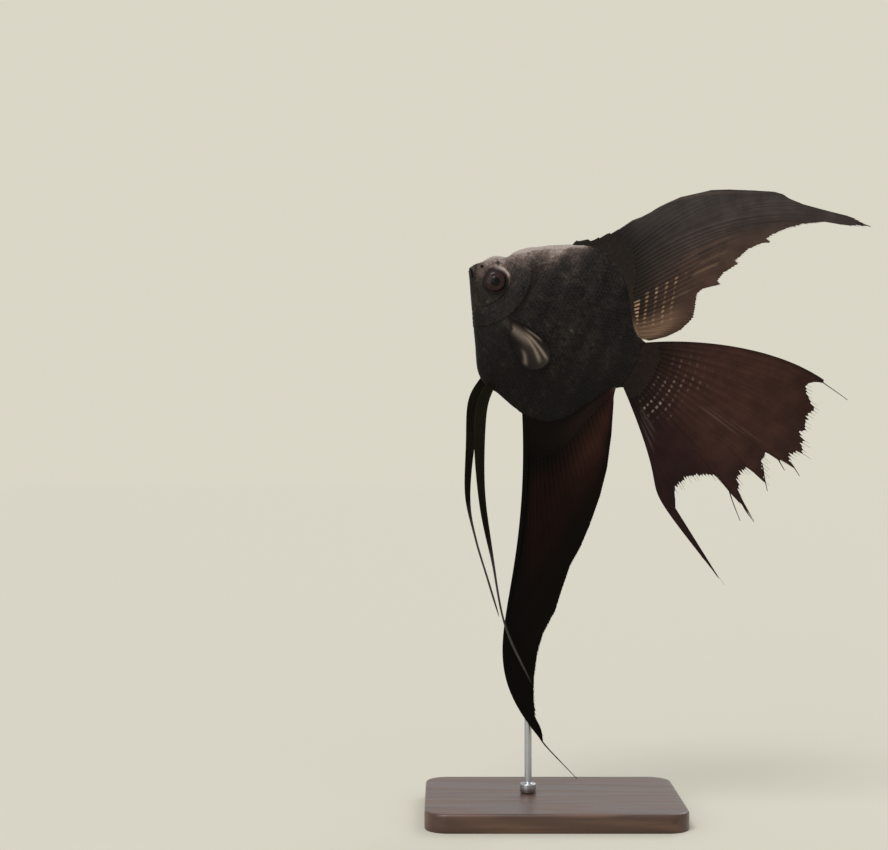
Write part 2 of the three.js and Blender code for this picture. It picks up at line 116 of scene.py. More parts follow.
CAUDAL = {
    "base": [[0, 82.5, 5.2], [0.5, 84, -5], [1, 83, -15]],
    "rays": [
        [0, 34, 0.2, -20, 0.36], [0.08, 25, 0.3, -10, 0.3], [0.2, 13, 0.33, -6, 0.33],
        [0.4, -1, 0.33, -10, 0.33], [0.6, -16, 0.33, -27, 0.33], [0.8, -32, 0.33, -40, 0.33],
        [0.92, -40, 0.5, -38, 0.5], [1, -40, 0.75, -25, 0.75],
    ],
    "margin": [
        [0, 174, 24.4], [0.04, 174, 22.5], [0.1, 171.5, 17.5], [0.16, 169.5, 11.5],
        [0.24, 170, 2.5], [0.3, 171, -3.5], [0.35, 172, -8.5], [0.41, 172.5, -15], [0.48, 169, -22],
        [0.55, 165, -28.5], [0.62, 163.5, -35.5], [0.69, 162.3, -43], [0.75, 156.5, -47.5],
        [0.81, 151, -52], [0.87, 149, -57.5], [0.93, 151, -64], [0.98, 157, -70.4], [1, 157.5, -71.1],
    ],
    "outline": [
        [82.5, 5.2], [87, 8.3], [93, 11.6], [101, 15.2], [110, 18.7], [120.5, 22.2], [131, 25.1],
        [137.5, 26.9], [144.3, 28], [150.4, 28.1], [156, 27.7], [161.2, 26.9], [162.4, 26], [160, 25.4],
        [157.6, 24.2], [156.4, 21.8], [159.1, 18], [165.5, 13.7], [163.8, 10.8], [164.5, 5.2],
        [166.4, 4.9], [163.5, 2], [167.4, -0.6], [166.8, -2.3], [169.8, -6.1], [166.6, -6.9],
        [164.5, -9.6], [166.1, -11.9], [170.6, -15], [165.4, -13.3], [160.6, -12.6], [163.6, -15.6],
        [158.8, -13.4], [154.4, -12.7], [154.2, -17], [161, -27.1], [152.8, -23.2], [149.8, -23.2],
        [147.9, -28.1], [151.6, -34.9], [161.5, -42.1], [154, -38.3], [148.8, -37.2], [155.9, -44.3],
        [146.2, -36.4], [139.3, -32.5], [135.7, -33.3], [127.5, -38.6], [124.8, -46], [128.5, -53],
        [141.5, -61.4], [157.5, -70.6], [157.2, -71.3], [141.5, -63.5], [130.5, -58.3],
        [123.5, -54.5], [119.3, -51.6], [114.1, -45.8], [105.3, -35.3], [96.4, -26.7], [89, -20.3],
        [83, -15], [79, -5],
    ],
    "fan": {"x": 70, "z": -3, "start": 14, "reach": 90, "first": 20, "last": -45},
    "bend": lambda out, turn: (
        5 * out**2 * np.sin(math.pi * (0.9 * turn + 0.35 * out)) - 2.5 * out**2
    ),
    "groups": [[0, 0.06, 2, 1], [0.06, 0.94, 16, 4], [0.94, 1, 2, 1]],
    "rows": 96,
    "stout": (0.2, 0.05, 0.6),
    "fray": (0.028, 0.06, 0.95),
    "sheath": [[0, 6], [0.25, 9], [0.75, 9], [1, 6]],
    "reach": 0.04,
    "hairs": [
        ([[158, 26.6], [162.2, 26], [168, 25.3], [175, 24.3]], 0.26),
        ([[164.5, -11.5], [168, -13.5], [171.2, -15.4]], 0.3),
        ([[159, -12.8], [164.2, -16.2]], 0.3),
        ([[154, -18], [157.5, -23], [161.4, -27.8]], 0.35),
        ([[152, -36.5], [157, -40], [162, -42.6]], 0.35),
        ([[144.5, -33.5], [150, -39.2], [156.4, -45]], 0.3),
        ([[146, -65.5], [152, -68.2], [158.4, -71.6]], 0.4),
    ],
}
ANAL = {
    "base": [
        [0, 48, -43.5], [0.15, 53, -44.4], [0.3, 58.5, -44], [0.45, 64, -41], [0.6, 68.6, -35.5],
        [0.75, 72.6, -28.6], [0.9, 77.2, -20.5], [1, 81, -15.5],
    ],
    "rays": [
        [0, -60, 0.64, -22, 0.38], [0.06, -58, 0.6, -26, 0.38], [0.14, -62, 0.45, -46, 0.34],
        [0.24, -67, 0.36, -62, 0.33], [0.4, -68, 0.36, -72, 0.33], [0.7, -66, 0.36, -70, 0.33],
        [0.9, -68, 0.33, -56, 0.33], [1, -84, 0.3, -58, 0.3],
    ],
    "margin": [
        [0, 123.5, -171], [0.03, 121, -167.3], [0.08, 116, -162], [0.13, 111.5, -155.5],
        [0.18, 107.6, -147.5], [0.24, 104.3, -138], [0.3, 102.6, -128.5], [0.36, 102.4, -117.6],
        [0.42, 101.3, -107], [0.49, 100, -96.5], [0.56, 99.6, -86.5], [0.63, 98.8, -75.5],
        [0.71, 97, -63], [0.8, 93.8, -50.5], [0.9, 89, -37], [1, 83.2, -23.5],
    ],
    "outline": [
        [48, -43.5], [55, -56.5], [61.4, -69], [66.2, -79.8], [70.6, -90.3], [77, -108.4],
        [81.7, -123.4], [86, -136], [91, -146.6], [98, -155.6], [108.3, -163.5], [123, -170.9],
        [142.8, -178.2], [143.5, -177.6], [131, -172.4], [124, -168], [117, -163.8], [111.5, -156],
        [107.4, -148], [103.8, -138], [102, -129], [102.2, -117.6], [100.5, -107.6], [99, -97],
        [99.3, -87.5], [98.5, -76.5], [96.8, -63.5], [93.6, -49.5], [88.2, -35], [83.6, -24],
        [81, -15], [64, -35],
    ],
    "fan": {"x": 62, "z": -20, "start": 22, "reach": 156, "first": -110, "last": -10},
    "bend": lambda out, turn: (
        2.6 * out * (1 - 0.6 * out) * np.sin(math.pi * (1.25 * out + 0.5 * turn))
    ),
    "groups": [[0, 0.1, 6, 1], [0.1, 1, 26, 4]],
    "rows": 88,
    "stout": (0.2, 0.05, 0.45),
    "fray": (0.01, 0.05, 0.97),
    "sheath": [[0, 20], [0.2, 20], [0.43, 15], [0.7, 8], [0.95, 2], [1, 0.5]],
    "reach": 0.008,
    "hairs": [([[117, -167], [124, -171.3], [134, -175], [143.8, -178.4]], 0.4)],
}
PECTORAL = {
    "base": [[0, 23.8, -12], [1, 25.4, -17.2]],
    "rays": [[0, 8, 0.3, -12, 0.3], [0.5, -14, 0.3, -26, 0.3], [1, -40, 0.3, -42, 0.3]],
    "margin": [
        [0, 41, -13.4], [0.15, 46, -15.2], [0.3, 48.4, -18], [0.5, 49.5, -22], [0.7, 48, -25.6],
        [0.85, 44.6, -28.2], [1, 40, -28.8],
    ],
    "groups": [[0, 0.08, 1, 1], [0.08, 1, 11, 4]],
    "rows": 44,
    "stout": (0.16, 0.05, 0.2),
    "fray": (0.03, 0, 1),
}
# A pelvic fin is a blade along a bent line [x, z, y], with its widths along that [share, width].
PELVIC = {
    "width": [
        [0, 3.6], [0.08, 5.2], [0.2, 4.8], [0.35, 3.4], [0.48, 2.5], [0.6, 1.2], [0.75, 0.9], [0.96, 0.6],
        [1, 0.2],
    ],
    "lines": {
        "left": [
            [31.6, -39, -1.4], [31.9, -50, -2.6], [38, -65, -4.4], [51, -88, -6], [67, -109.5, -7],
            [85, -132.5, -7.5], [107, -150, -7],
        ],
        "right": [
            [28.2, -38.5, 1.4], [28.4, -50.7, 2.6], [34.8, -67, 4.2], [45.7, -91, 5.6], [57, -105.4, 6.4],
            [69.5, -118.5, 7], [82.5, -132, 7.5],
        ],
    },
    "groups": [[0, 0.2, 1, 1], [0.2, 1, 5, 2]],
    "rows": 190,
    "stout": (0.42, 0.2, 0.5),
    "fray": (0.02, 0, 1),
}


# ---------------------------------------------------------------- curves and shares
def along(table, x):
    """A smooth curve through the rows of a table [x, a, b, ...], read at x, with a, b, ... last."""
    rows = np.array(table, float)
    x = np.clip(x, rows[0, 0], rows[-1, 0])
    i = np.clip(np.searchsorted(rows[:, 0], x) - 1, 0, len(rows) - 2)
    width = np.diff(rows[:, 0])
    slope = np.diff(rows[:, 1:], axis=0) / width[:, None]
    inner = slope[:-1] * width[1:, None] + slope[1:] * width[:-1, None]
    inner /= (width[:-1] + width[1:])[:, None]
    tangent = np.vstack([slope[:1], inner, slope[-1:]])
    q = ((x - rows[i, 0]) / width[i])[..., None]
    h = width[i][..., None]
    a = 2 * q**3 - 3 * q**2 + 1
    b = q**3 - 2 * q**2 + q
    d = q**3 - q**2
    return a * rows[i, 1:] + b * h * tangent[i] + (1 - a) * rows[i + 1, 1:] + d * h * tangent[i + 1]


def curve(table, x):
    """The same for a table with one value to a row."""
    return along(table, x)[..., 0]


def straight(table, x):
    """Straight between the rows of a table."""
    rows = np.array(table, float)
    return np.stack([np.interp(x, rows[:, 0], rows[:, c]) for c in range(1, rows.shape[1])], -1)


def rise(first, last, x):
    """0 at first, 1 at last, smooth between."""
    q = np.clip((x - first) / (last - first), 0, 1)
    return q * q * (3 - 2 * q)


def span(x, start, full, still, end):
    """0 up to start, 1 from full to still, and 0 again from end, smooth between."""
    return rise(start, full, x) * rise(end, still, x)


def peak(x, width):
    return np.exp(-((x / width) ** 2))


def lerp(a, b, share):
    return a + (b - a) * share


def unit(vectors):
    return vectors / (np.linalg.norm(vectors, axis=-1, keepdims=True) + 1e-12)


def run_along(points):
    """How far each point lies along a bent line from its first."""
    return np.concatenate([[0], np.cumsum(np.linalg.norm(np.diff(points, axis=0), axis=1))])


def polar(x, z, centre):
    """Distance and bearing in degrees from a centre in side view."""
    dx = x - centre["x"]
    dz = z - centre["z"]
    return np.hypot(dx, dz), np.degrees(np.arctan2(dz, dx))


def line_distance(x, z, points):
    """Distance in side view to a bent line."""
    best = np.full(np.shape(x), np.inf)
    for (x0, z0), (x1, z1) in zip(points[:-1], points[1:]):
        run = (x1 - x0) ** 2 + (z1 - z0) ** 2
        share = np.clip(((x - x0) * (x1 - x0) + (z - z0) * (z1 - z0)) / run, 0, 1)
        best = np.minimum(best, np.hypot(x - lerp(x0, x1, share), z - lerp(z0, z1, share)))
    return best


def inside(x, z, points):
    """Whether points in side view lie inside an outline."""
    within = np.zeros(np.shape(x), bool)
    for (x0, z0), (x1, z1) in zip(points, points[1:] + points[:1]):
        if z0 == z1:
            continue
        crossing = x0 + (z - z0) * (x1 - x0) / (z1 - z0)
        within ^= ((z0 > z) != (z1 > z)) & (x < crossing)
    return within


# ---------------------------------------------------------------- meshes
def in_place(points):
    """Points of the fish's own frame in the frame of the whole part."""
    c = math.cos(math.radians(PITCH_DEG))
    s = math.sin(math.radians(PITCH_DEG))
    turned = np.asarray(points) @ np.array([[c, 0, -s], [0, 1, 0], [s, 0, c]])
    return turned + np.array(MOUTH_AT)


def mesh_object(name, points, face_groups, uv=None, attributes=None):
    """An object of points in millimetres and arrays of faces, each array with faces of one size. uv has a
    row for each point, or else for each corner of a face."""
    mesh = bpy.data.meshes.new(name)
    loops = np.concatenate([np.asarray(group).ravel() for group in face_groups])
    sizes = np.concatenate([np.full(len(group), np.shape(group)[1]) for group in face_groups])
    mesh.vertices.add(len(points))
    mesh.vertices.foreach_set("co", (np.asarray(points) * MM).astype(np.float32).ravel())
    mesh.loops.add(len(loops))
    mesh.loops.foreach_set("vertex_index", loops.astype(np.int32))
    mesh.polygons.add(len(sizes))
    mesh.polygons.foreach_set("loop_start", (np.cumsum(sizes) - sizes).astype(np.int32))
    mesh.update(calc_edges=True)
    mesh.polygons.foreach_set("use_smooth", np.full(len(sizes), True))
    if uv is not None:
        corners = uv[loops] if len(uv) == len(points) else uv
        layer = mesh.uv_layers.new(name="OFBake")
        layer.uv.foreach_set("vector", np.asarray(corners, np.float32).ravel())
    for key, values in (attributes or {}).items():
        layer = mesh.attributes.new(key, "FLOAT", "POINT")
        layer.data.foreach_set("value", np.asarray(values, np.float32).ravel())
    made = bpy.data.objects.new(name, mesh)
    bpy.context.scene.collection.objects.link(made)
    return made


def grid_faces(index):
    """Quads over a grid of point numbers."""
    return np.stack([index[:-1, :-1], index[1:, :-1], index[1:, 1:], index[:-1, 1:]], -1).reshape(-1, 4)


def rim_of(index):
    """The numbers round the edge of a grid of point numbers."""
    return np.concatenate([index[:-1, 0], index[-1, :-1], index[:0:-1, -1], index[0, :0:-1]])


def ring_solid(rings, poles):
    """Points and faces of a closed solid of rings, with a pole beyond its first and its last ring."""
    rings = np.asarray(rings, float)
    count, around = rings.shape[:2]
    index = np.arange(count * around).reshape(count, around)
    after = np.roll(index, -1, axis=1)
    first_pole = np.full(around, index.size)
    quads = np.stack([index[:-1], after[:-1], after[1:], index[1:]], -1).reshape(-1, 4)
    caps = np.concatenate([
        np.stack([first_pole, after[0], index[0]], 1),
        np.stack([first_pole + 1, index[-1], after[-1]], 1),
    ])
    return np.concatenate([rings.reshape(-1, 3), poles]), [quads, caps]


def flipped(groups):
    """Faces that look the other way."""
    return [group[:, ::-1] for group in groups]


def dress(piece, material, replaced=()):
    """Gives a piece its material and ties it to the frame."""
    piece.data.materials.append(material)
    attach(piece, "root")
    if replaced:
        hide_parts(*replaced)


# ---------------------------------------------------------------- materials
def rgb(red, green, blue):
    """A display colour of 0 to 255 as the linear one that a shader takes."""
    shares = [c / 255 for c in (red, green, blue)]
    return [c / 12.92 if c <= 0.04045 else ((c + 0.055) / 1.055) ** 2.4 for c in shares] + [1]


class Tree:
    """A node tree, written with few words."""

    def __init__(self, node_tree):
        self.tree = node_tree

    def node(self, kind, inputs, output=0, **settings):
        made = self.tree.nodes.new(kind)
        for key, value in settings.items():
            setattr(made, key, value)
        for key, value in inputs.items():
            self.put(value, made.inputs[key])
        return made.outputs[output]

    def put(self, value, socket):
        if isinstance(value, bpy.types.NodeSocket):
            self.tree.links.new(value, socket)
        else:
            socket.default_value = value

    def math(self, operation, a, b=0.0, c=0.0):
        return self.node("ShaderNodeMath", {0: a, 1: b, 2: c}, operation=operation)


class Finish(Tree):
    """A material. Each method but the first two returns a socket."""

    def __init__(self, name, **values):
        self.material = bpy.data.materials.new(name)
        self.material.use_nodes = True
        super().__init__(self.material.node_tree)
        self.set(**values)

    def set(self, **inputs):
        """Sets the shader's inputs, and returns the material."""
        for key, value in inputs.items():
            self.put(value, self.tree.nodes["Principled BSDF"].inputs[key.replace("_", " ")])
        return self.material

    def attribute(self, name):
        return self.node("ShaderNodeAttribute", {}, "Fac", attribute_name=name)

    def place(self):
        return self.node("ShaderNodeTexCoord", {}, "Object")

    def stretched(self, x, y, z):
        """The place with each axis scaled, for grain that runs one way."""
        return self.node("ShaderNodeMapping", {"Vector": self.place(), "Scale": (x, y, z)})

    def add(self, a, b):
        return self.math("ADD", a, b)

    def times(self, a, b):
        return self.math("MULTIPLY", a, b)

    def noise(self, scale, detail, at=None):
        inputs = {"Scale": scale, "Detail": detail, "Roughness": 0.55, "Vector": at or self.place()}
        return self.node("ShaderNodeTexNoise", inputs, "Fac")

    def cells(self, scale):
        return self.node("ShaderNodeTexVoronoi", {"Scale": scale, "Vector": self.place()}, "Distance")

    def spread(self, value, low, high, first=0.0, last=1.0):
        """value from low..high on to first..last, held at both ends."""
        inputs = {0: value, 1: low, 2: high, 3: first, 4: last}
        return self.node("ShaderNodeMapRange", inputs, clamp=True, interpolation_type="SMOOTHSTEP")

    def mix(self, share, a, b):
        """Of the node's many sockets, 6 and 7 take colours and 2 gives one."""
        return self.node("ShaderNodeMix", {0: share, 6: a, 7: b}, 2, data_type="RGBA")

    def ramp(self, value, stops):
        made = self.tree.nodes.new("ShaderNodeValToRGB")
        self.put(value, made.inputs[0])
        elements = made.color_ramp.elements
        while len(elements) < len(stops):
            elements.new(0.5)
        for element, (position, color) in zip(elements, stops):
            element.position = position
            element.color = color
        return made.outputs[0]

    def bump(self, height, distance, strength):
        return self.node("ShaderNodeBump", {"Height": height, "Distance": distance, "Strength": strength})


SOOT = rgb(9, 7, 6)
# painted sheen for the middles of the scales where the skin is pale
PAINTED_SHEEN = rgb(120, 112, 108)
# from soot up; the palest stop is a painted sheen of light from above on the nape and forehead
BODY_TONES = [
    (0.0, SOOT), (0.25, rgb(17, 13, 10)), (0.45, rgb(34, 28, 23)), (0.72, rgb(90, 75, 67)),
    (1.0, rgb(160, 148, 141)),
]
PUPIL_TO = 0.43  # of the eye's radius, as are the next two
BRONZE_TO = 0.5
DARK_FROM = 0.62
BODY_BLACK = rgb(25, 21, 19)
# A fin's colours at its root, front and rear and on its rays and marks, how dark its rays are, and where its
# marks stand in rows, their spacing, first place and how far they are broken up
# The reddish browns of the dorsal, caudal and anal membranes are partly the fins' own tint and partly painted
# light shining through them from behind.
FIN_LOOKS = {
    "pectoral": (
        (BODY_BLACK, rgb(24, 19, 16), rgb(18, 14, 12), rgb(14, 11, 9), rgb(150, 135, 121)), 0.3, None,
    ),
    "dorsal": (
        (rgb(34, 30, 27), rgb(70, 64, 62), rgb(84, 63, 52), rgb(35, 29, 27), rgb(172, 138, 110)),
        0.45, (4.5, 3.5, 0.6),
    ),
    "caudal": (
        (rgb(26, 21, 18), rgb(68, 45, 38), rgb(43, 28, 27), rgb(28, 17, 18), rgb(140, 124, 114)),
        0.4, (3.6, 1.0, 0.85),
    ),
    "anal": ((rgb(11, 8, 6), rgb(27, 13, 9), rgb(56, 32, 25), rgb(16, 8, 6), rgb(110, 80, 66)), 0.35, None),
    "pelvic": ((BODY_BLACK, rgb(29, 25, 17), rgb(31, 26, 18), rgb(16, 13, 9), rgb(104, 98, 92)), 0.4, None),
}


def flesh_color(finish):
    """The markings, painted sheen and painted shade that skin and scales share, led by each point's tone."""
    shade = finish.attribute("tone")
    for scale, detail, low, high, strength in (
        (900, 4, 0.3, 0.7, 0.05), (120, 4, 0.3, 0.7, 0.09), (2600, 2, 0.35, 0.75, 0.07),
    ):
        spots = finish.spread(finish.noise(scale, detail), low, high, -strength, strength)
        shade = finish.add(shade, spots)
    return finish.ramp(shade, BODY_TONES)


def skin_material():
    finish = Finish("skin", Specular_IOR_Level=0.1)
    pores = finish.spread(finish.cells(2300), 0.0, 0.35)
    bump = finish.bump(finish.add(pores, finish.noise(5200, 3)), 0.00005, 0.5)
    rough = finish.spread(finish.noise(420, 3), 0.3, 0.7, 0.36, 0.5)
    return finish.set(Base_Color=flesh_color(finish), Normal=bump, Roughness=rough)


def scale_material():
    """The skin's colours, with a dark rim and a faint painted sheen before it where the tone is pale."""
    finish = Finish("scales", Specular_IOR_Level=0.1)
    tip = finish.attribute("tip")
    rim = finish.times(finish.spread(tip, 0.8, 1.0), 0.2)
    # painted sheen on each scale's middle, stronger where the skin is pale
    painted_sheen_share = finish.times(finish.spread(tip, 0.35, 0.75), finish.spread(tip, 0.95, 0.8))
    painted_sheen_share = finish.times(painted_sheen_share, finish.spread(finish.attribute("tone"), 0.15, 0.6, 0.012, 0.08))
    color = finish.mix(painted_sheen_share, finish.mix(rim, flesh_color(finish), SOOT), PAINTED_SHEEN)
    rings = finish.math("SINE", finish.times(tip, 60.0))
    bump = finish.bump(finish.add(rings, finish.noise(4200, 2)), 0.00003, 0.35)
    rough = finish.spread(finish.noise(600, 3), 0.3, 0.7, 0.3, 0.44)
    return finish.set(Base_Color=color, Normal=bump, Roughness=rough)


def eye_material():
    """Black pupil, a thin bronze ring and a dark red-brown iris, under a clear cornea."""
    finish = Finish(
        "eye", Roughness=0.3, Specular_IOR_Level=0.1, Coat_Weight=0.22, Coat_Roughness=0.03, Coat_IOR=1.34
    )
    out = finish.attribute("out")
    past_pupil = finish.spread(out, PUPIL_TO - 0.03, PUPIL_TO)
    near_ring = finish.times(past_pupil, finish.spread(out, BRONZE_TO, BRONZE_TO - 0.05))
    fibre = finish.noise(900, 5, at=finish.stretched(1, 0.3, 1))
    iris = finish.mix(finish.spread(fibre, 0.35, 0.7), rgb(33, 20, 18), rgb(60, 38, 33))
    iris = finish.mix(finish.spread(out, DARK_FROM, 0.9), iris, rgb(27, 20, 19))
    ring = finish.mix(finish.noise(2500, 2), rgb(62, 38, 24), rgb(90, 62, 40))
    color = finish.mix(finish.times(near_ring, 0.4), iris, ring)
    return finish.set(Base_Color=finish.mix(past_pupil, rgb(9, 6, 6), color))


def rows_of_marks(finish, marks, cloud, pitch, first, broken):
    """Marks cut into rows at even places, and into the gaps between the rays. The first row is wider."""
    place = finish.attribute("bar")
    turns = finish.math("MULTIPLY_ADD", place, 2 * math.pi / pitch, -2 * math.pi * first / pitch)
    wave = finish.add(finish.math("COSINE", turns), finish.spread(cloud, 0.3, 0.7, -0.3, 0.3))
    edge = finish.spread(place, first + 1.4, first + 2.2, -0.4, 0.66)
    bar = finish.spread(finish.math("SUBTRACT", wave, edge), -0.3, 0.3)
    bar = finish.times(bar, finish.spread(finish.attribute("gap"), 0.1, 0.75))
    worn = finish.spread(finish.noise(230, 3), 0.4, 0.6, 1 - broken, 1.0)
    return finish.times(finish.times(marks, bar), worn)


def fin_material(word, colors, lines, rows):
    root, front, rear, ray, pale = colors
    finish = Finish(f"fin_{word}", Roughness=0.5, Specular_IOR_Level=0.03)
    ridge = finish.attribute("ridge")
    across = finish.attribute("across")
    cloud = finish.noise(110, 5)
    strands = finish.node("ShaderNodeCombineXYZ", {"X": finish.times(across, 420.0)})
    streak = finish.noise(1.0, 3, at=strands)
    color = finish.mix(finish.spread(across, 0.45, 0.9), front, rear)
    color = finish.mix(finish.spread(cloud, 0.35, 0.65, 0.0, 0.35), color, ray)
    color = finish.mix(finish.spread(streak, 0.4, 0.7, 0.0, 0.5), color, ray)
    color = finish.mix(finish.times(finish.spread(ridge, 0.2, 0.9), lines), color, ray)
    color = finish.mix(finish.attribute("dark"), color, root)
    marks = finish.attribute("marks")
    if rows:
        marks = rows_of_marks(finish, marks, cloud, *rows)
    color = finish.mix(marks, color, pale)
    hair = finish.times(finish.attribute("streaks"), finish.spread(streak, 0.35, 0.6))
    color = finish.mix(hair, color, pale)
    joints = finish.math("SINE", finish.times(finish.attribute("away"), 9.0))
    height = finish.add(finish.add(finish.times(joints, ridge), finish.noise(3000, 3)), streak)
    return finish.set(Base_Color=color, Normal=finish.bump(height, 0.00005, 0.4))


def wood_material():
    """Oiled walnut, its grain along the base."""
    finish = Finish("walnut", Coat_Weight=0.2, Coat_Roughness=0.25)
    grain = finish.noise(16, 3, at=finish.stretched(0.12, 1, 1))
    bands = finish.math("SINE", finish.times(grain, 95.0))
    streaks = finish.noise(260, 4, at=finish.stretched(0.04, 1, 1))
    pores = finish.spread(finish.noise(900, 3, at=finish.stretched(0.03, 1, 1)), 0.52, 0.68)
    color = finish.mix(finish.spread(bands, -1.0, 1.0), rgb(72, 47, 33), rgb(90, 61, 43))
    color = finish.mix(finish.spread(streaks, 0.35, 0.7, 0.0, 0.5), color, rgb(58, 37, 26))
    color = finish.mix(finish.times(pores, 0.5), color, rgb(40, 25, 17))
    height = finish.math("SUBTRACT", finish.times(bands, 0.2), pores)
    rough = finish.spread(bands, -1.0, 1.0, 0.33, 0.45)
    return finish.set(Base_Color=color, Normal=finish.bump(height, 0.00006, 0.5), Roughness=rough)


def steel_material():
    finish = Finish("steel", Metallic=1.0)
    brushed = finish.noise(700, 3, at=finish.stretched(1, 1, 30))
    color = finish.mix(brushed, rgb(160, 161, 163), rgb(196, 197, 199))
    rough = finish.spread(brushed, 0.2, 0.8, 0.22, 0.36)
    return finish.set(Base_Color=color, Roughness=rough, Normal=finish.bump(brushed, 0.00002, 0.3))


# ---------------------------------------------------------------- the body's surface
LIPS_TO = 1.1  # the snout is rounded off up to here
STALK_FROM = 79  # the tail stalk flattens from here into the tail fin
MOUTH_LINE = [[-0.6, 0.05], [0.8, -0.4], [2.1, -1.6], [3.2, -3.1]]
MAXILLA_LINE = [[1.5, 2.4], [2.9, 0.8], [4.0, -1.6], [4.3, -3.9]]
JAW_LINE = [[3.6, -3.2], [6.0, -6.2], [8.4, -10]]
NOSTRIL = {"x": 4.6, "z": 3.0}
PORES = [
    [10.2, 7.5], [7.9, 5.6], [6.6, -2.2], [7.4, -5.2], [9.6, -7.6], [12.6, -8.6], [15.8, -8.0],
    [18.2, -5.6], [5.0, -7.6], [7.0, -11.2], [9.6, -15.4], [12.8, -13.6], [16.6, -9.6], [18.9, -4.6],
    [19.6, 1.2], [18.6, 6.4], [14.6, 9.0],
]
PELVIC_ROOT = [[29.8, -37.5], [30, -43]]
PECTORAL_ROOT = [[24.4, -12.4], [25.6, -17]]
PECTORAL_LOBE = [[24.2, -14.2], [28.5, -16]]
# Bearings in degrees at which a fold starts, is full, still is full and ends
ALL_ROUND = (-200, -190, 190, 200)
BROW = (-5, 30, 120, 165)
UNDER_EYE = (-178, -150, -50, -20)
CHEEK = (-70, -45, 0, 20)
COVER = (-78, -56, 26, 40)
CHIN = (-64, -56, -38, -26)
THROAT = (-200, -190, -66, -60)
# Folds round a centre, as (distance from it, half width, height, bearings)
EYE_FOLDS = [
    (5.0, 0.34, 0.34, ALL_ROUND), (5.75, 0.3, -0.12, ALL_ROUND), (6.5, 0.55, 0.3, BROW),
    (6.6, 0.35, -0.14, UNDER_EYE),
]
GILL_FOLDS = [
    (12.4, 3.2, 0.4, CHEEK), (15.6, 0.5, 0.12, CHEEK), (16.5, 0.4, -0.18, CHEEK), (25.2, 0.7, -0.12, COVER),
    (23.3, 0.22, -0.1, COVER), (20.4, 0.3, -0.16, CHIN), (17.6, 0.3, -0.16, THROAT),
    (19.6, 0.3, -0.16, THROAT), (21.6, 0.3, -0.16, THROAT),
]
# The profile's slim snout, dip over the eye and full nape, as (x, half width, height)
PROFILE = [(7.4, 1.3, 0.12), (3.2, 1.7, -0.7), (18.6, 3, 0.45), (11.6, 1.9, -1.4)]


def section(x):
    """The skin's middle height, half height, half thickness and keel at x."""
    x = np.maximum(x, 0)
    top = curve(BACK, x)
    bottom = curve(BELLY, x)
    width, keel = np.moveaxis(along(SECTIONS, x), -1, 0)
    return (top + bottom) / 2, (top - bottom) / 2 - COAT, width - COAT, keel


def body_point(x, angle, side):
    """Point of the skin before its relief: angle is -90 degrees at the belly and 90 at the back."""
    middle, half, width, keel = section(x)
    blunt = np.sqrt(np.clip(1 - ((LIPS_TO - np.minimum(x, LIPS_TO)) / (LIPS_TO - NOSE)) ** 2, 1e-9, 1))
    flat = 1 - 0.72 * rise(STALK_FROM, BODY_END, x)
    a = np.radians(angle)
    y = side * width * blunt * flat * np.cos(a).clip(0) ** keel
    return np.stack([x, y, middle + half * blunt * np.sin(a)], -1)


def folds(distance, bearing, table):
    return sum(high * peak(distance - at, width) * span(bearing, *ends) for at, width, high, ends in table)


def relief(x, z):
    """How far the skin stands out from the plain body, in mm."""
    eye, bearing = polar(x, z, EYE)
    gill, turn = polar(x, z, GILL)

    # the lips, the cleft between them and the folds behind them
    cleft = line_distance(x, z, MOUTH_LINE)
    maxilla = line_distance(x, z, MAXILLA_LINE)
    high = 0.34 * peak(cleft - 0.75, 0.55) - 0.6 * peak(cleft, 0.26)
    high *= span(x, NOSE, NOSE + 0.8, 2.6, 4.4)
    high += 0.16 * peak(maxilla - 0.7, 0.5) * rise(5.5, 3.5, x) - 0.3 * peak(maxilla, 0.26)
    high -= 0.26 * peak(line_distance(x, z, JAW_LINE), 0.34)

    # the eye socket with its rim and brow, the cheek, gill cover and throat
    high += folds(eye, bearing, EYE_FOLDS) - 2.4 * rise(4.75, 4.1, eye)
    high += folds(gill, turn, GILL_FOLDS) + 0.22 * span(gill, 17.5, 22, 24.3, 24.8) * span(turn, *COVER)

    # nostril and sensory pores
    nostril, _ = polar(x, z, NOSTRIL)
    high += 0.16 * peak(nostril - 0.72, 0.24) - 0.6 * peak(nostril, 0.42)
    for pore_x, pore_z in PORES:
        pore = np.hypot(x - pore_x, z - pore_z)
        high += 0.04 * peak(pore - 0.42, 0.16) - 0.16 * peak(pore, 0.26)

    # the profile, the low mounds over the roots of the paired fins, and slow swellings of the flank
    profile = sum(swell * peak(x - at, width) for at, width, swell in PROFILE)
    high += rise(3.4, 0.2, curve(BACK, x) - z) * profile
    high += 0.3 * peak(line_distance(x, z, PELVIC_ROOT), 2.4)
    high += 0.35 * peak(line_distance(x, z, PECTORAL_ROOT), 1.8)
    high += 0.05 * np.sin(0.9 * x + 0.4 * z) * np.sin(0.5 * z - 0.3 * x) * rise(20, 40, x)
    return high


